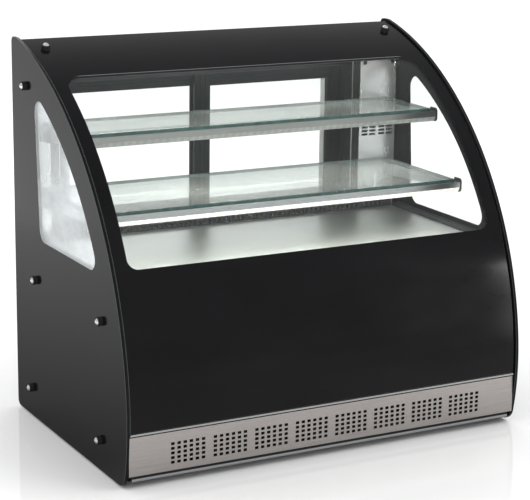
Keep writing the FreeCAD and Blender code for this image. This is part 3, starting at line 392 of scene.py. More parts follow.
def rounded(corners, segments=8):
    """Closed outline from (u, v, radius) corners, each rounded between its neighbours."""
    outline = []
    for k, (u, v, radius) in enumerate(corners):
        here = Vector((u, v))
        if not radius:
            outline.append(here)
            continue
        back = (Vector(corners[k - 1][:2]) - here).normalized()
        ahead = (Vector(corners[(k + 1) % len(corners)][:2]) - here).normalized()
        half = back.angle(ahead) / 2
        centre = here + (back + ahead).normalized() * radius / math.sin(half)
        start = here + back * radius / math.tan(half) - centre
        turn = start.angle_signed(here + ahead * radius / math.tan(half) - centre)
        for a in steps(0, turn, segments):
            outline.append(centre + Matrix.Rotation(-a, 2) @ start)
    return outline


def publish(name, build, finishes, nodes=(), body="cabinet", bevel=0.0, segments=2, edge_finish=-1):
    """Build one piece and show it on its body, in place of the CAD nodes it stands for."""
    work = bmesh.new()
    build(work)
    bmesh.ops.recalc_face_normals(work, faces=work.faces)
    mesh = bpy.data.meshes.new(name)
    work.to_mesh(mesh)
    work.free()
    for finish in finishes:
        mesh.materials.append(finish)
    mesh.shade_smooth()
    mesh.set_sharp_from_angle(angle=SHARP)
    piece = bpy.data.objects.new(name, mesh)
    bpy.context.scene.collection.objects.link(piece)
    if bevel:
        soften = piece.modifiers.new("edges", "BEVEL")
        soften.width = bevel
        soften.segments = segments
        soften.limit_method = "ANGLE"
        soften.angle_limit = SHARP
        soften.harden_normals = True
        soften.use_clamp_overlap = True
        soften.material = edge_finish
    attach(piece, body)
    if nodes:
        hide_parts(*nodes)


def formed(node, finish, bevel=0.0008, segments=2, other=None, pick=None):
    """The CAD part, flat faces joined and edges softened; pick says where the other finish is."""
    source = frame["nodes"][node]

    def build(work):
        work.from_mesh(source.data)
        bmesh.ops.remove_doubles(work, verts=work.verts, dist=MERGE)
        bmesh.ops.dissolve_limit(work, angle_limit=math.radians(0.5), verts=work.verts, edges=work.edges)
        for face in work.faces:
            face.material_index = int(bool(pick and pick(face.calc_center_median())))
    finishes = [finish, other] if other else [finish]
    publish(node + "_formed", build, finishes, [node], source["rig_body"], bevel, segments)


def paint(node, finish):
    """Give a CAD part its finish."""
    for place in frame["nodes"][node].material_slots:
        place.material = finish


def add_block(work, low, high, index=0):
    """Box from its lowest to its highest corner, as part of a larger piece."""
    made = bmesh.ops.create_cube(work, size=1.0)
    size = Vector(high) - Vector(low)
    for vert in made["verts"]:
        vert.co = Vector(low) + Vector((vert.co[k] + 0.5) * size[k] for k in range(3))
    for face in {f for v in made["verts"] for f in v.link_faces}:
        face.material_index = index


def add_walls(work, out, back, index=0):
    """Close the rim between two equal grids of corners."""
    tall, wide = len(out) - 1, len(out[0]) - 1
    rim = [(r, c, r + 1, c) for c in (0, wide) for r in range(tall)]
    rim += [(r, c, r, c + 1) for r in (0, tall) for c in range(wide)]
    for r0, c0, r1, c1 in rim:
        face = work.faces.new((out[r0][c0], out[r1][c1], back[r1][c1], back[r0][c0]))
        face.material_index = index


def add_band(work, first, second, index=0):
    """Band of faces between two closed rings of corners."""
    for k in range(len(first)):
        n = (k + 1) % len(first)
        work.faces.new((first[k], first[n], second[n], second[k])).material_index = index


def add_bar(work, section, start, end, across, up, index=0):
    """Straight extrusion of a closed 2-D section from start to end."""
    start, end, across, up = Vector(start), Vector(end), Vector(across), Vector(up)
    rings = [[work.verts.new(p + across * u + up * v) for u, v in section] for p in (start, end)]
    add_band(work, *rings, index)
    flat = [Vector((u, v, 0)) for u, v in section]
    for ring in rings:
        for triangle in tessellate_polygon([flat]):
            work.faces.new([ring[i] for i in triangle]).material_index = index


# ---------------------------------------------------------------- glass envelope
def side_outline():
    """Outline of a side glass in the YZ plane."""
    toe, heel, tip = 0.030, 0.014, 0.011
    tip_lean = lean_at_z(0, PANEL_TOP)
    kick = [profile(0, a) for a in steps(-KICK_LEAN + toe * 1.2 / KICK_R, JOIN_LEAN, 14)]
    front = [profile(0, a) for a in steps(JOIN_LEAN, tip_lean, 60)][1:]
    corners = [(*profile(0, -KICK_LEAN), toe)]
    corners += [(y, z, 0) for y, z in kick + front]
    corners += [(CASE_REAR, PANEL_TOP, tip), (CASE_REAR, PANEL_LOW, heel)]
    return rounded(corners)


def side_window():
    """Clear area: a curved front edge that follows the panel, a leaning rear edge, a level sill."""
    radius = FRONT_R - SIDE_WINDOW_INSET
    (low_y, low_z), (top_y, _) = SIDE_WINDOW_REAR

    def on_edge(z):
        return FRONT_Y - math.sqrt(radius ** 2 - (z - FRONT_Z) ** 2)
    sill_y = on_edge(SIDE_WINDOW_LOW)
    start = math.asin((SIDE_WINDOW_LOW - FRONT_Z) / radius)
    end = math.acos((FRONT_Y - top_y) / radius)
    arc = [(FRONT_Y - radius * math.cos(a), FRONT_Z + radius * math.sin(a))
           for a in steps(start + 0.045 / radius, end - 0.050 / radius, 30)]
    peak = (top_y, FRONT_Z + radius * math.sin(end))
    corners = [(sill_y, SIDE_WINDOW_LOW, 0.022)]
    corners += [(y, z, 0) for y, z in arc]
    corners += [(*peak, 0.026), (low_y, low_z, 0.026)]
    return rounded(corners)


def side_pane(side):
    """Side glass with its printed border, clear window and ground edge, whose arris takes a partly painted
    highlight.
    """
    outer, window = side_outline(), side_window()
    flat = [Vector((u, v, 0)) for u, v in outer + window]
    count = len(outer)
    border = tessellate_polygon([flat[:count], flat[count:]])
    clear = tessellate_polygon([flat[count:]])
    x_out = abs(LEFT_LOW.x)

    def build(work):
        layers = []
        for x in (x_out, x_out - GLASS_T):
            layers.append([work.verts.new((side * x, p.x, p.y)) for p in flat])
        for layer, printed in zip(layers, (0, 3)):
            for triangle in border:
                work.faces.new([layer[i] for i in triangle]).material_index = printed
            for triangle in clear:
                work.faces.new([layer[count + i] for i in triangle]).material_index = 1
        add_band(work, layers[0][:count], layers[1][:count], 2)
        bmesh.ops.dissolve_limit(work, angle_limit=math.radians(0.3), verts=[], edges=work.edges,
                                 delimit={"MATERIAL"})
    hand = "left" if side < 0 else "right"
    # The left window takes the whitish film of painted reflection; the right one is clear.
    window_finish = LEFT_WINDOW_REFLECTION if side < 0 else CLEAR
    publish("side_pane_" + hand, build, [PRINT, window_finish, PRINT_EDGE, PRINT_BACK, ARRIS_TONE_AND_HIGHLIGHT],
            ["side_glass_" + hand], bevel=ARRIS, segments=1, edge_finish=4)


def front_rows():
    """Leans of the front glass from its lower edge to its top, with the window's half width at each."""
    low, high = WINDOW_LOW_LEAN, WINDOW_TOP_LEAN
    radius = FRONT_R - FRONT_INSET
    low_turn, high_turn = WINDOW_LOW_CORNER / radius, WINDOW_TOP_CORNER / radius
    low_half, high_half = WINDOW_HALF_X - WINDOW_LOW_CORNER, WINDOW_HALF_X - WINDOW_TOP_CORNER
    foot_lean = math.asin((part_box("front_glass")[0].z - KICK_Z) / (KICK_R - FRONT_INSET))
    rows = [(a, low_half) for a in steps(foot_lean, JOIN_LEAN, 8)[:-1]]
    rows += [(a, low_half) for a in steps(JOIN_LEAN, low, 16)[:-1]]
    quarter = steps(0, math.pi / 2, 16)
    rows += [(low + low_turn * (1 - math.cos(a)), low_half + WINDOW_LOW_CORNER * math.sin(a))
             for a in quarter]
    rows += [(a, WINDOW_HALF_X) for a in steps(low + low_turn, high - high_turn, 34)[1:-1]]
    rows += [(high - high_turn * (1 - math.sin(a)), high_half + WINDOW_TOP_CORNER * math.cos(a))
             for a in quarter]
    rows += [(a, high_half) for a in steps(high, FRONT_TOP_LEAN, 12)[1:]]
    return rows


def front_pane():
    """Curved front glass: printed border, clear window, ground edge with a partly painted highlight on its
    arris, and a painted highlight line along the top of the window.
    """
    rows = front_rows()
    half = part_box("front_glass")[1].x
    highlight_lean = WINDOW_TOP_LEAN - WINDOW_HIGHLIGHT_WIDTH / (FRONT_R - FRONT_INSET)

    def build(work):
        layers = []
        for depth in (0.0, GLASS_T):
            layer = []
            for lean, inner in rows:
                y, z = profile(FRONT_INSET + depth, lean)
                layer.append([work.verts.new((x, y, z)) for x in (-half, -inner, inner, half)])
            layers.append(layer)
        last = len(rows) - 1
        for layer, printed in zip(layers, (0, 3)):
            for r in range(last):
                middle = WINDOW_LOW_LEAN - 1e-6 < rows[r][0] and rows[r + 1][0] < WINDOW_TOP_LEAN + 1e-6
                for c in range(3):
                    low, high = layer[r], layer[r + 1]
                    face = work.faces.new((low[c], low[c + 1], high[c + 1], high[c]))
                    # Faces in the window's top row take the painted highlight line.
                    line = middle and rows[r][0] > highlight_lean
                    face.material_index = (5 if line else 1) if middle and c == 1 else printed
        add_walls(work, *layers, 2)
    publish("front_pane", build, [PRINT, CLEAR, PRINT_EDGE, PRINT_BACK, ARRIS_TONE_AND_HIGHLIGHT, WINDOW_HIGHLIGHT],
            ["front_glass"], bevel=ARRIS, segments=1, edge_finish=4)


def pane_slab(name, node, clear, body="cabinet", edge=0.0015):
    """Flat glass pane with rounded, polished green edges."""
    low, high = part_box(node)
    thin = min(range(3), key=lambda k: high[k] - low[k])

    def build(work):
        add_block(work, low, high)
        for face in work.faces:
            off_middle = abs(face.calc_center_median()[thin] - (low + high)[thin] / 2)
            face.material_index = 0 if off_middle > 1e-4 else 1
    publish(name, build, [clear, EDGE], [node], body, bevel=edge, segments=4)


for side in (-1, 1):
    side_pane(side)
front_pane()
pane_slab("upper_shelf_pane", "upper_shelf_glass", PANE)
pane_slab("middle_shelf_pane", "middle_shelf_glass", PANE)


# ---------------------------------------------------------------- rear doors
def door(hand, body):
    """Extruded frame with grooved stiles, a glazing bead, the pane and the pull strip."""
    low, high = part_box(hand + "_door_frame")
    pane_low, pane_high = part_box(hand + "_door_glass")
    bite = 0.0075
    opening = (pane_low.x + bite, pane_high.x - bite, pane_low.z + bite, pane_high.z - bite)
    thick = high.y - low.y
    y_mid = (low.y + high.y) / 2

    def section(width):
        """Profile across its width, from the door's outer edge to the pane, with two shallow grooves."""
        slot_half, groove = 0.0028, 0.0012
        marks = (width * 0.34, width * 0.68)
        face = [(0, 0)]
        for u in marks:
            face += [(u - 0.0011, 0), (u - 0.0011, groove), (u + 0.0011, groove), (u + 0.0011, 0)]
        face += [(width, 0)]
        back = [(u, thick - v) for u, v in reversed(face)]
        tongue = [(width, thick / 2 - slot_half), (width - bite - 0.0005, thick / 2 - slot_half),
                  (width - bite - 0.0005, thick / 2 + slot_half), (width, thick / 2 + slot_half)]
        return face + tongue + back

    def build(work):
        x0, x1, z0, z1 = opening
        up = (0, 1, 0)
        for x, wide, way in ((low.x, x0 - low.x, 1), (high.x, high.x - x1, -1)):
            add_bar(work, section(wide), (x, low.y, low.z), (x, low.y, high.z), (way, 0, 0), up)
        for z, tall, way in ((low.z, z0 - low.z, 1), (high.z, high.z - z1, -1)):
            add_bar(work, section(tall), (x0, low.y, z), (x1, low.y, z), (0, 0, way), up, 1)
    publish(hand + "_door_profiles", build, [DOOR_FRAME, DOOR_RAIL],
            [hand + "_door_frame"], body, bevel=0.0005)
    pane_slab(hand + "_door_pane", hand + "_door_glass", DOOR_PANE, body, 0.0008)

    def beads(work):
        x0, x1, z0, z1 = opening
        lip, proud = 0.0022, 0.0030
        wedge = [(0, 0), (lip, 0), (lip * 0.8, proud * 0.6), (lip * 0.3, proud), (0, proud)]
        pane_half = (pane_high.y - pane_low.y) / 2
        for way in (-1, 1):
            y = y_mid + way * (pane_half - 0.0002)
            up = (0, way * 0.8, 0)
            for x, inward in ((x0, 1), (x1, -1)):
                add_bar(work, wedge, (x, y, z0), (x, y, z1), (inward, 0, 0), up)
            for z, inward in ((z0, 1), (z1, -1)):
                add_bar(work, wedge, (x0 + lip, y, z), (x1 - lip, y, z), (0, 0, inward), up)
    publish(hand + "_door_bead", beads, [RUBBER], (), body, bevel=0.0003)
    formed(hand + "_door_pull", LIGHT_PULL, 0.0006, 3)
    formed(hand + "_door_glides", GREY_PLASTIC, 0.001)


door("left", "door_left")
door("right", "door_right")


# ---------------------------------------------------------------- doorway
def grooved(points, spans, width=0.0020, depth=0.0016):
    """Outline with shallow grooves: spans says how many grooves each side of it has."""
    outline = []
    for k, count in enumerate(spans):
        here, there = Vector(points[k]), Vector(points[(k + 1) % len(points)])
        along = (there - here).normalized()
        inward = Vector((-along.y, along.x)) * depth
        outline.append(here)
        for n in range(count):
            mid = here.lerp(there, (n + 1) / (count + 1))
            a, b = mid - along * width / 2, mid + along * width / 2
            outline += [a, a + inward, b + inward, b]
    return outline


def door_jamb_profiles():
    """Ribbed closing profiles at each end of the doorway."""
    low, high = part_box("door_jambs")
    sill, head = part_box("bottom_track"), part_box("top_track")
    gap = 0.0005
    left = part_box("left_door_frame")[0].x - gap
    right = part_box("right_door_frame")[1].x + gap
    step = sill[0].y - gap

    def build(work):
        for outer, inner, way in ((low.x, left, 1), (high.x, right, -1)):
            wide = abs(inner - outer)
            front = grooved([(0, 0), (wide, 0), (wide, step - low.y), (0, step - low.y)], (2, 3, 0, 0))
            rear = grooved([(0, step - low.y), (wide, step - low.y),
                            (wide, high.y - low.y), (0, high.y - low.y)], (0, 2, 2, 0))
            across, up = (way, 0, 0), (0, 1, 0)
            add_bar(work, front, (outer, low.y, low.z), (outer, low.y, high.z), across, up)
            add_bar(work, rear, (outer, low.y, sill[1].z), (outer, low.y, head[0].z), across, up)
    publish("door_jamb_profiles", build, [JAMB], ["door_jambs"], bevel=0.0004)


def door_brush():
    """Pile seal on the outer door's stile, closing the gap to the inner door."""
    low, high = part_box("left_door_frame")
    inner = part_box("right_door_frame")[1].y
    middle = high.x - 0.018
    root, pile, pitch = 0.0012, 0.0006, 0.0030
    tufts = int((high.z - low.z - 0.008) / pitch)

    def build(work):
        add_block(work, (middle - 0.0035, low.y - root, low.z + 0.003),
                  (middle + 0.0035, low.y, high.z - 0.003))
        for k in range(tufts):
            z = low.z + 0.004 + k * pitch
            add_block(work, (middle - 0.0020, inner + pile, z),
                      (middle + 0.0020, low.y - root, z + pitch * 0.7))
    publish("door_brush", build, [RUBBER], (), "door_left")


def jamb_edge_strips():
    """Thin bright strips on the doorway corner of each closing profile: a painted highlight along that
    edge.
    """
    low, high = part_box("door_jambs")
    wide, proud = 0.0026, 0.0006
    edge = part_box("right_door_frame")[1].x + 0.0005

    def build(work):
        section = [(0, 0), (0, proud)] + [(wide - proud + proud * math.sin(a), proud * math.cos(a))
                                          for a in steps(0, math.pi / 2, 5)] + [(wide, 0)]
        for x, way in ((edge, 1), (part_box("left_door_frame")[0].x - 0.0005, -1)):
            add_bar(work, section, (x, low.y, low.z + 0.016), (x, low.y, high.z - 0.001),
                    (way, 0, 0), (0, -1, 0))
    publish("jamb_edge_strips", build, [TRIM])


door_jamb_profiles()
jamb_edge_strips()
door_brush()


# ---------------------------------------------------------------- service side
def add_shell(work, outer, inner):
    """Closed sheet between two equal grids of points."""
    grids = [[[work.verts.new(p) for p in row] for row in grid] for grid in (outer, inner)]
    tall, wide = len(outer) - 1, len(outer[0]) - 1
    for grid in grids:
        for r in range(tall):
            for c in range(wide):
                work.faces.new((grid[r][c], grid[r][c + 1], grid[r + 1][c + 1], grid[r + 1][c]))
    add_walls(work, *grids)


def louvre_hoods():
    """Hoods pressed out over the air slots of the rear cover, open below."""
    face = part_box("rear_service_panel")[1].y - 0.0001
    deep, tall, sheet = 0.0036, 0.0080, 0.0008
    half = LOUVRE_SIZE[0] / 2 + 0.003
    ends = steps(-1, 1, 20)

    def surface(x_mid, z_low, shrink):
        rows = []
        for turn in steps(0, math.pi / 2, 6):
            row = []
            for u in ends:
                rise = max(1 - u ** 12, 0.0) ** 0.5 * 0.94 + 0.06
                y = face + (deep * math.sin(turn) - shrink * math.sin(turn)) * rise
                z = z_low + (tall - shrink) * math.cos(turn) * rise
                row.append((x_mid + u * (half - shrink), y, z))
            rows.append(row)
        return rows

    def build(work):
        columns, rows = ([middle + (k - (count - 1) / 2) * pitch for k in range(count)]
                         for middle, count, pitch in zip(LOUVRE_CENTRE, LOUVRE_COUNT, LOUVRE_PITCH))
        for x in columns:
            for z in rows:
                z_low = z - LOUVRE_SIZE[1] / 2
                add_shell(work, surface(x, z_low, 0.0), surface(x, z_low, sheet))
    publish("louvre_hoods", build, [STEEL])


def add_tube(work, path, radius, sides=12):
    """Round tube through the points of a path, closed at both ends."""
    path = [Vector(p) for p in path]
    rings = []
    side = None
    for k, point in enumerate(path):
        way = (path[min(k + 1, len(path) - 1)] - path[max(k - 1, 0)]).normalized()
        side = way.orthogonal() if side is None else side - way * side.dot(way)
        side.normalize()
        rise = way.cross(side)
        rings.append([work.verts.new(point + (side * math.cos(a) + rise * math.sin(a)) * radius)
                      for a in steps(0, math.tau, sides)[:-1]])
    for first, second in zip(rings, rings[1:]):
        add_band(work, first, second)
    for ring in (rings[0], rings[-1]):
        work.faces.new(ring)


def coil(node, tubes, fin_pitch=0.0035):
    """Heat exchanger: end plates, a pack of thin fins and the serpentine tube with its return bends."""
    low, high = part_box(node)
    plate, fin, tube_r = 0.002, 0.0004, 0.0040
    x0, x1 = low.x + 0.010, high.x - 0.010
    step = (high.z - low.z) / (tubes + 1)
    y = (low.y + high.y) / 2

    def build(work):
        for x in (x0 - plate, x1):
            add_block(work, (x, low.y, low.z), (x + plate, high.y, high.z), 2)
        count = int((x1 - x0) / fin_pitch)
        for k in range(1, count):
            x = x0 + k * (x1 - x0) / count
            add_block(work, (x, low.y + 0.002, low.z + 0.002), (x + fin, high.y - 0.002, high.z - 0.002))
        faces = len(work.faces)
        for row in (-0.25, 0.25):
            depth = y + row * (high.y - low.y)
            path = []
            for k in range(tubes):
                z = low.z + step * (k + 1)
                way = -1 if k % 2 else 1
                run = (x0 - 0.003, x1 + 0.003)[::way]
                path += [(run[0], depth, z), (run[1], depth, z)]
                if k < tubes - 1:
                    bulge = 0.0055
                    path += [(run[1] + way * bulge * math.sin(a), depth, z + step * (1 - math.cos(a)) / 2)
                             for a in steps(0, math.pi, 8)[1:-1]]
            add_tube(work, path, tube_r, 10)
        work.faces.ensure_lookup_table()
        for face in work.faces[faces:]:
            face.material_index = 1
    publish(node + "_finned", build, [FINS_AND_GAP_SHADE, COPPER, ZINC], [node])


SEGMENTS = {"a": (0, 2, 1, 2), "b": (1, 1, 1, 2), "c": (1, 0, 1, 1), "d": (0, 0, 1, 0),
            "e": (0, 0, 0, 1), "f": (0, 1, 0, 2), "g": (0, 1, 1, 1)}
NUMERALS = {"3": "abgcd", "5": "afgcd"}


def add_numeral(work, numeral, right, foot, y, tall, thick, deep):
    """Seven-segment numeral that reads from behind the case, where +X is to the left."""
    wide, arm = tall * 0.52, tall / 2
    for letter in NUMERALS[numeral]:
        u0, v0, u1, v1 = SEGMENTS[letter]
        a = Vector((right - u0 * wide, y, foot + v0 * arm))
        b = Vector((right - u1 * wide, y, foot + v1 * arm))
        along = (b - a).normalized()
        a, b = a + along * thick * 0.62, b - along * thick * 0.62
        aside = along.cross(Vector((0, 1, 0))) * thick / 2
        tip = along * thick / 2
        outline = [a - tip, a + aside, b + aside, b + tip, b - aside, a - aside]
        layers = [[work.verts.new(p + Vector((0, d, 0))) for p in outline] for d in (0, deep)]
        for layer in layers:
            work.faces.new(layer)
        add_band(work, *layers)


def controls():
    """Display window with generic numerals, and raised marks on the buttons."""
    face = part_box("controller_body")[1].y
    (x0, x1), (z0, z1) = DISPLAY_X, DISPLAY_Z
    recess, pane = 0.0010, 0.0007

    def window(work):
        add_block(work, (x0, face - recess, z0), (x1, face - recess + pane, z1))
    publish("display_pane", window, [DISPLAY], bevel=0.0003, segments=3)
    lit = face - recess + pane

    def numerals(work):
        tall, thick, deep = 0.0150, 0.0017, 0.0002
        foot = (z0 + z1 - tall) / 2
        add_numeral(work, "3", x1 - 0.016, foot, lit, tall, thick, deep)
        add_numeral(work, "5", x1 - 0.033, foot, lit, tall, thick, deep)
        add_tube(work, [(x1 - 0.0285, lit, foot), (x1 - 0.0285, lit + deep, foot)], 0.0010)
        degree = [(x1 - 0.050 + 0.0018 * math.cos(a), lit, foot + tall - 0.0018 + 0.0018 * math.sin(a))
                  for a in steps(0, math.tau, 16)]
        add_tube(work, degree, 0.0003, 6)
    publish("display_numerals", numerals, [DIGITS])

    def mark(node, build_mark):
        low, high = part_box(node)
        middle = (low + high) / 2

        def build(work):
            build_mark(work, middle.x, high.y - 0.00005, middle.z)
        publish(node + "_mark", build, [LIGHT_PULL], (),
                frame["nodes"][node]["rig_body"])

    def arrow(way):
        def build_mark(work, x, y, z):
            outline = [(-0.0024, -0.0012 * way), (0.0024, -0.0012 * way), (0, 0.0016 * way)]
            add_bar(work, outline, (x, y, z), (x, y + 0.0002, z), (1, 0, 0), (0, 0, 1))
        return build_mark

    def ring(work, x, y, z):
        circle = [(x + 0.0016 * math.cos(a), y, z + 0.0016 * math.sin(a)) for a in steps(0, math.tau, 20)]
        add_tube(work, circle, 0.0003, 6)
    mark("set_button", ring)
    mark("up_button", arrow(1))
    mark("down_button", arrow(-1))


louvre_hoods()
coil("evaporator_coil", 5)
coil("condenser_coil", 6)
controls()


# ---------------------------------------------------------------- fasteners
def islands(node):
    """Corner points of each separate solid of a CAD part."""
    work = bmesh.new()
    work.from_mesh(frame["nodes"][node].data)
    bmesh.ops.remove_doubles(work, verts=work.verts, dist=MERGE)
    work.verts.ensure_lookup_table()
    seen, found = set(), []
    for first in work.verts:
        if first.index in seen:
            continue
        seen.add(first.index)
        front, points = [first], []
        while front:
            vert = front.pop()
            points.append(vert.co.copy())
            for edge in vert.link_edges:
                other = edge.other_vert(vert)
                if other.index not in seen:
                    seen.add(other.index)
                    front.append(other)
        found.append(points)
    work.free()
    return found


def add_turned(work, base, axis, outline, sides=48):
    """Solid of revolution; the outline runs from the rim at the base to the middle of the top."""
    axis = Vector(axis).normalized()
    across = axis.orthogonal().normalized()
    up = axis.cross(across)
    rings = []
    for radius, height in outline[:-1]:
        centre = base + axis * height
        rings.append([work.verts.new(centre + (across * math.cos(a) + up * math.sin(a)) * radius)
                      for a in steps(0, math.tau, sides)[:-1]])
    top = work.verts.new(base + axis * outline[-1][1])
    work.faces.new(rings[0])
    for first, second in zip(rings, rings[1:]):
        add_band(work, first, second)
    for k in range(sides):
        work.faces.new((rings[-1][k], rings[-1][(k + 1) % sides], top))


def standoff_domes():
    """Turned chrome heads of the glass fixings, softly domed."""
    def outline(radius, height):
        turn = 0.0014
        points = [(radius - 0.0003, 0.0), (radius, 0.0003), (radius, height * 0.45)]
        points += [(radius - turn + turn * math.cos(a), height * 0.45 + turn * math.sin(a))
                   for a in steps(0, math.pi / 2, 6)[1:]]
        rim = height * 0.45 + turn
        points += [((radius - turn) * math.cos(a), rim + (height - rim) * math.sin(a))
                   for a in steps(0, math.pi / 2, 8)[1:]]
        return points

    def build(work):
        for points in islands("standoff_caps"):
            middle = sum(points, Vector()) / len(points)
            if abs(middle.x) > abs(LEFT_LOW.x) - 0.001:
                axis = Vector((math.copysign(1, middle.x), 0, 0))
            else:
                axis = Vector((0, middle.y - FRONT_Y, middle.z - FRONT_Z)).normalized()
            heights = [(p - middle).dot(axis) for p in points]
            radius = max(((p - middle) - axis * h).length for p, h in zip(points, heights))
            base = middle + axis * min(heights)
            add_turned(work, base, axis, outline(radius, max(heights) - min(heights)))
    publish("standoff_domes", build, [CAP_CHROME], ["standoff_caps"])


def screw_recesses():
    """Dark crosses a hair proud of the pan-head screws: painted shade standing in for their cross
    recesses.
    """
    long, thin, proud = 0.0021, 0.00045, 0.00005

    def build(work):
        for points in islands("panel_screws"):
            middle = sum(points, Vector()) / len(points)
            outward = 1 if middle.y > (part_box("rear_sill")[0].y + CASE_REAR) / 2 else -1
            y = max(p.y * outward for p in points) * outward
            x, z = middle.x, middle.z
            for dx, dz in ((long, thin), (thin, long)):
                y0, y1 = sorted((y - outward * 0.0002, y + outward * proud))
                add_block(work, (x - dx, y0, z - dz), (x + dx, y1, z + dz))
    publish("screw_recesses", build, [RUBBER])


def pan_edge_strip():
    """Bright rolled edge along the foot of the base pan's front lip."""
    low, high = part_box("base_pan")
    foot, tall, proud, inset = 0.0008, 0.0062, 0.0012, 0.003

    def build(work):
        section = [(0, 0)] + [(proud * math.sin(a), tall / 2 - tall / 2 * math.cos(a))
                              for a in steps(0, math.pi, 10)[1:-1]] + [(0, tall)]
        add_bar(work, section, (low.x + inset, low.y, low.z + foot), (high.x - inset, low.y, low.z + foot),
                (0, -1, 0), (0, 0, 1))
    publish("pan_edge_strip", build, [STEEL])


standoff_domes()
screw_recesses()
pan_edge_strip()


# ---------------------------------------------------------------- remaining parts
FORMED = (
    (PLATE, "stainless", 0.0003, "front_grille"),
    (TRIM, "bright_aluminium", 0.0004, "front_glass_channel"),
    (DECK, "stainless", 0.0012, "deck_panel"),
    (TRACK, "dark_frame", 0.0006, "deck_rails"),
    (TRACK, "dark_frame", 0.0004, "rear_air_grille"),
    (HOUSING, "black_plastic", 0.0010, "top_housing"),
    (TRACK, "dark_frame", 0.0004, "top_track", "bottom_track"),
    (TRIM, "bright_aluminium", 0.0005, "upper_shelf_led_profile"),
    (ALUMINIUM, "bright_aluminium", 0.0005,
     "middle_shelf_led_profile", "upper_shelf_brackets", "middle_shelf_brackets"),
    (ALUMINIUM, "bright_aluminium", 0.0006, "top_led_housing"),
    (BLACK_PLASTIC, "black_plastic", 0.0006, "shelf_led_end_caps"),
    (ZINC, "galvanised", 0.0005, "base_side_left", "base_side_right"),
    (HOUSING, "black_plastic", 0.0006, "front_bulkhead"),
    (STEEL, "stainless", 0.0012, "rear_sill"),
    (STEEL, "stainless", 0.0004, "rear_service_panel"),
    (BLACK_PLASTIC, "black_plastic", 0.0006, "controller_body"),
    (BLACK_PLASTIC, "black_plastic", 0.0005, "cable_gland"),
    (RUBBER, "rubber_black", 0.0012, "feet"),
)
for finish, slot, bevel, *nodes in FORMED:
    for node in nodes:
        formed(node, finish, bevel)
for node in ("air_column_right", "rear_post_left"):
    back_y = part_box(node)[1].y - 0.001
    formed(node, COLUMN, 0.0009, other=STEEL, pick=lambda centre, y=back_y: centre.y > y)
# The front face of the pan's lip takes the black housing finish: painted shade under the grille plate's
# lower edge.
formed("base_pan", ZINC, 0.0006, other=HOUSING,
       pick=lambda p: p.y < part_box("base_pan")[0].y + 0.003)
formed("led_diffusers", DIM_LENS, 0.0004, other=BRIGHT_LENS,
       pick=lambda p: p.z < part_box("middle_shelf_glass")[1].z)

PAINTED = {
    "standoff_collars": RUBBER, "standoff_spacers": RUBBER,
    "panel_screws": DARK_SCREW, "well_insulation": FOAM, "well_liner": LINER,
    "evaporator_shroud": ZINC, "condenser_shroud": ZINC,
    "evaporator_fan_motor": ENAMEL, "condenser_fan_motor": ENAMEL, "evaporator_fan": BLACK_PLASTIC,
    "condenser_fan": BLACK_PLASTIC, "compressor": ENAMEL, "refrigerant_pipes": COPPER,
    "set_button": GREY_PLASTIC, "up_button": GREY_PLASTIC, "down_button": GREY_PLASTIC,
    "power_rocker": BLACK_PLASTIC,
}
for node, finish in PAINTED.items():
    paint(node, finish)


# ---------------------------------------------------------------- studio
def floor_finish():
    """Pale glazed floor with painted shade: its colour is darker close to the case, and its image in the
    case is painted darker still close to the tall panels and ahead of the front, a painted shadow of the
    case.
    """
    finish = Finish("studio_floor")
    mottle = finish.noise(1.2, detail=3)
    place = finish.node("SeparateXYZ", {0: finish.where()}).outputs
    away = finish.node("VectorMath", {0: finish.where()}, operation="LENGTH").outputs["Value"]
    beside = finish.maths("ABSOLUTE", place["X"])
    # Painted shadow: in glossy rays only, the floor's colour is dimmed beside and behind the case and
    # ahead of its front.
    near = finish.spread(beside, 1.0, 0.0, 0.45, 1.30)
    behind = finish.spread(place["Y"], 0.0, 1.0, -0.60, -0.10)
    ahead = finish.spread(place["Y"], 0.55, 0.18, -1.6, -0.5)
    mirrored = finish.node("LightPath").outputs["Is Glossy Ray"]
    shade = finish.maths("MULTIPLY", near, behind)
    shade = finish.maths("MAXIMUM", shade, ahead)
    shade = finish.maths("MULTIPLY", shade, mirrored)
    # Painted shade: the floor's colour is darker near the case and paler far off.
    near_case_shade = finish.tint(away, (0.875, 0.875, 0.875), (0.965, 0.965, 0.965), 0.5, 1.6)
    reflected_shadow = finish.node("Mix", {"Factor": shade, 6: near_case_shade, 7: (0.20, 0.20, 0.20, 1)}, data_type="RGBA")
    return finish.drive(Base_Color=reflected_shadow.outputs[2], Roughness=finish.spread(mottle, 0.010, 0.016),
                        Specular_IOR_Level=finish.spread(away, 0.75, 0.0, 0.8, 2.2))


def studio_floor():
    mesh = bpy.data.meshes.new("studio_floor")
    reach = 40.0
    mesh.from_pydata([(-reach, -reach, 0), (reach, -reach, 0), (reach, reach, 0), (-reach, reach, 0)], [],
                     [(0, 1, 2, 3)])
    mesh.materials.append(floor_finish())
    floor = bpy.data.objects.new("studio_floor", mesh)
    bpy.context.scene.collection.objects.link(floor)


def area_light(name, place, target, size, power, tone=(1, 1, 1)):
    data = bpy.data.lights.new(name, "AREA")
    data.shape = "RECTANGLE"
    data.size, data.size_y = size
    data.energy = power
    data.color = tone
    lamp = bpy.data.objects.new(name, data)
    way = Vector(target) - Vector(place)
    lamp.matrix_world = Matrix.Translation(place) @ way.to_track_quat("-Z", "Y").to_matrix().to_4x4()
    bpy.context.scene.collection.objects.link(lamp)
    return lamp


def light_pieces(lamp, names, state):
    """Let a lamp light only these pieces, or all but these."""
    chosen = bpy.data.collections.new(lamp.name + "_pieces")
    for name in names:
        chosen.objects.link(bpy.data.objects[name])
    for entry in chosen.collection_objects:
        entry.light_linking.link_state = state
    lamp.light_linking.receiver_collection = chosen


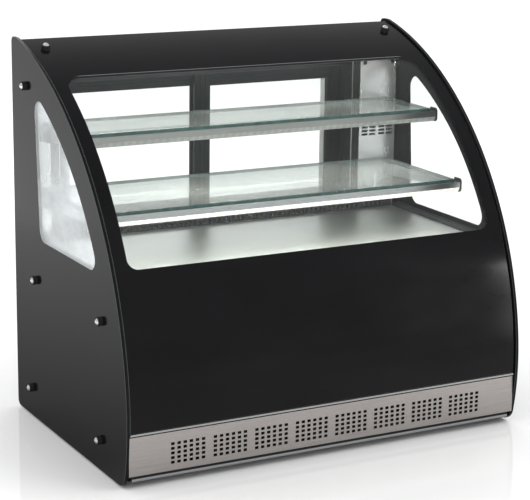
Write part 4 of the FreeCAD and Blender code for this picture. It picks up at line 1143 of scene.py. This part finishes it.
def studio_lights():
    centre = (0, 0, 0.4)
    key = area_light("key", (2.2, -2.4, 3.4), centre, (2.4, 2.4), 50)
    key.visible_glossy = False
    fill = area_light("fill", (-3.4, 0.4, 2.4), centre, (2.6, 2.6), 25)
    fill.visible_glossy = False
    sheen = area_light("sheen", (1.68, -1.5, 0.46), (0.45, -0.28, 0.30), (0.5, 0.9), 26)
    light_pieces(sheen, ["front_pane"], "INCLUDE")
    back = area_light("back", (0.6, 3.4, 2.6), centre, (3.0, 2.0), 25)
    light_pieces(back, ["front_pane"], "EXCLUDE")
    warm = (1.0, 0.955, 0.89)
    for node in ("upper_shelf_led_profile", "middle_shelf_led_profile"):
        low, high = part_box(node)
        y = (low.y + high.y) / 2
        area_light("under_" + node, (0, y, low.z - 0.004), (0, y + 0.05, 0), (0.82, 0.016), 0.9, warm)
    low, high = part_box("top_led_housing")
    area_light("under_top", (0, high.y + 0.01, low.z - 0.004), (0, high.y, 0), (0.80, 0.016), 0.80, warm)


def studio_world():
    """Pale surroundings: white to the eye and to matt surfaces, a soft grey gradient in reflections."""
    world = bpy.data.worlds.new("studio")
    world.use_nodes = True
    tree = world.node_tree
    place = add_node(tree, "TexCoord").outputs["Generated"]
    height = add_node(tree, "SeparateXYZ", {0: place}).outputs["Z"]
    ramp = add_node(tree, "ValToRGB", {"Fac": height})
    ramp.color_ramp.elements[0].color = (0.62, 0.62, 0.62, 1)
    ramp.color_ramp.elements[1].color = (0.42, 0.42, 0.44, 1)
    soft, output = tree.nodes["Background"], tree.nodes["World Output"]
    tree.links.new(ramp.outputs["Color"], soft.inputs["Color"])
    plain = add_node(tree, "Background", {"Color": (1, 1, 1, 1), "Strength": 1.2})
    mirrored = add_node(tree, "LightPath").outputs["Is Glossy Ray"]
    mix = add_node(tree, "MixShader", {
        0: mirrored, 1: plain.outputs["Background"], 2: soft.outputs["Background"]})
    tree.links.new(mix.outputs["Shader"], output.inputs["Surface"])
    bpy.context.scene.world = world
    bpy.context.scene.view_settings.view_transform = "Standard"


def studio_camera():
    """Three-quarter view from the customer's left, a little above the case."""
    camera = bpy.data.objects.new("camera", bpy.data.cameras.new("camera"))
    camera.data.sensor_width = 36.0
    camera.data.lens = CAMERA_LENS
    camera.data.clip_end = 200.0
    turn = Matrix.Rotation(-CAMERA_YAW, 4, "Z") @ Matrix.Rotation(math.pi / 2 - CAMERA_PITCH, 4, "X")
    place = Matrix.Translation(CAMERA_PLACE)
    camera.matrix_world = place @ turn @ Matrix.Rotation(CAMERA_ROLL, 4, "Z")
    bpy.context.scene.collection.objects.link(camera)
    bpy.context.scene.camera = camera


studio_floor()
studio_lights()
studio_world()
studio_camera()
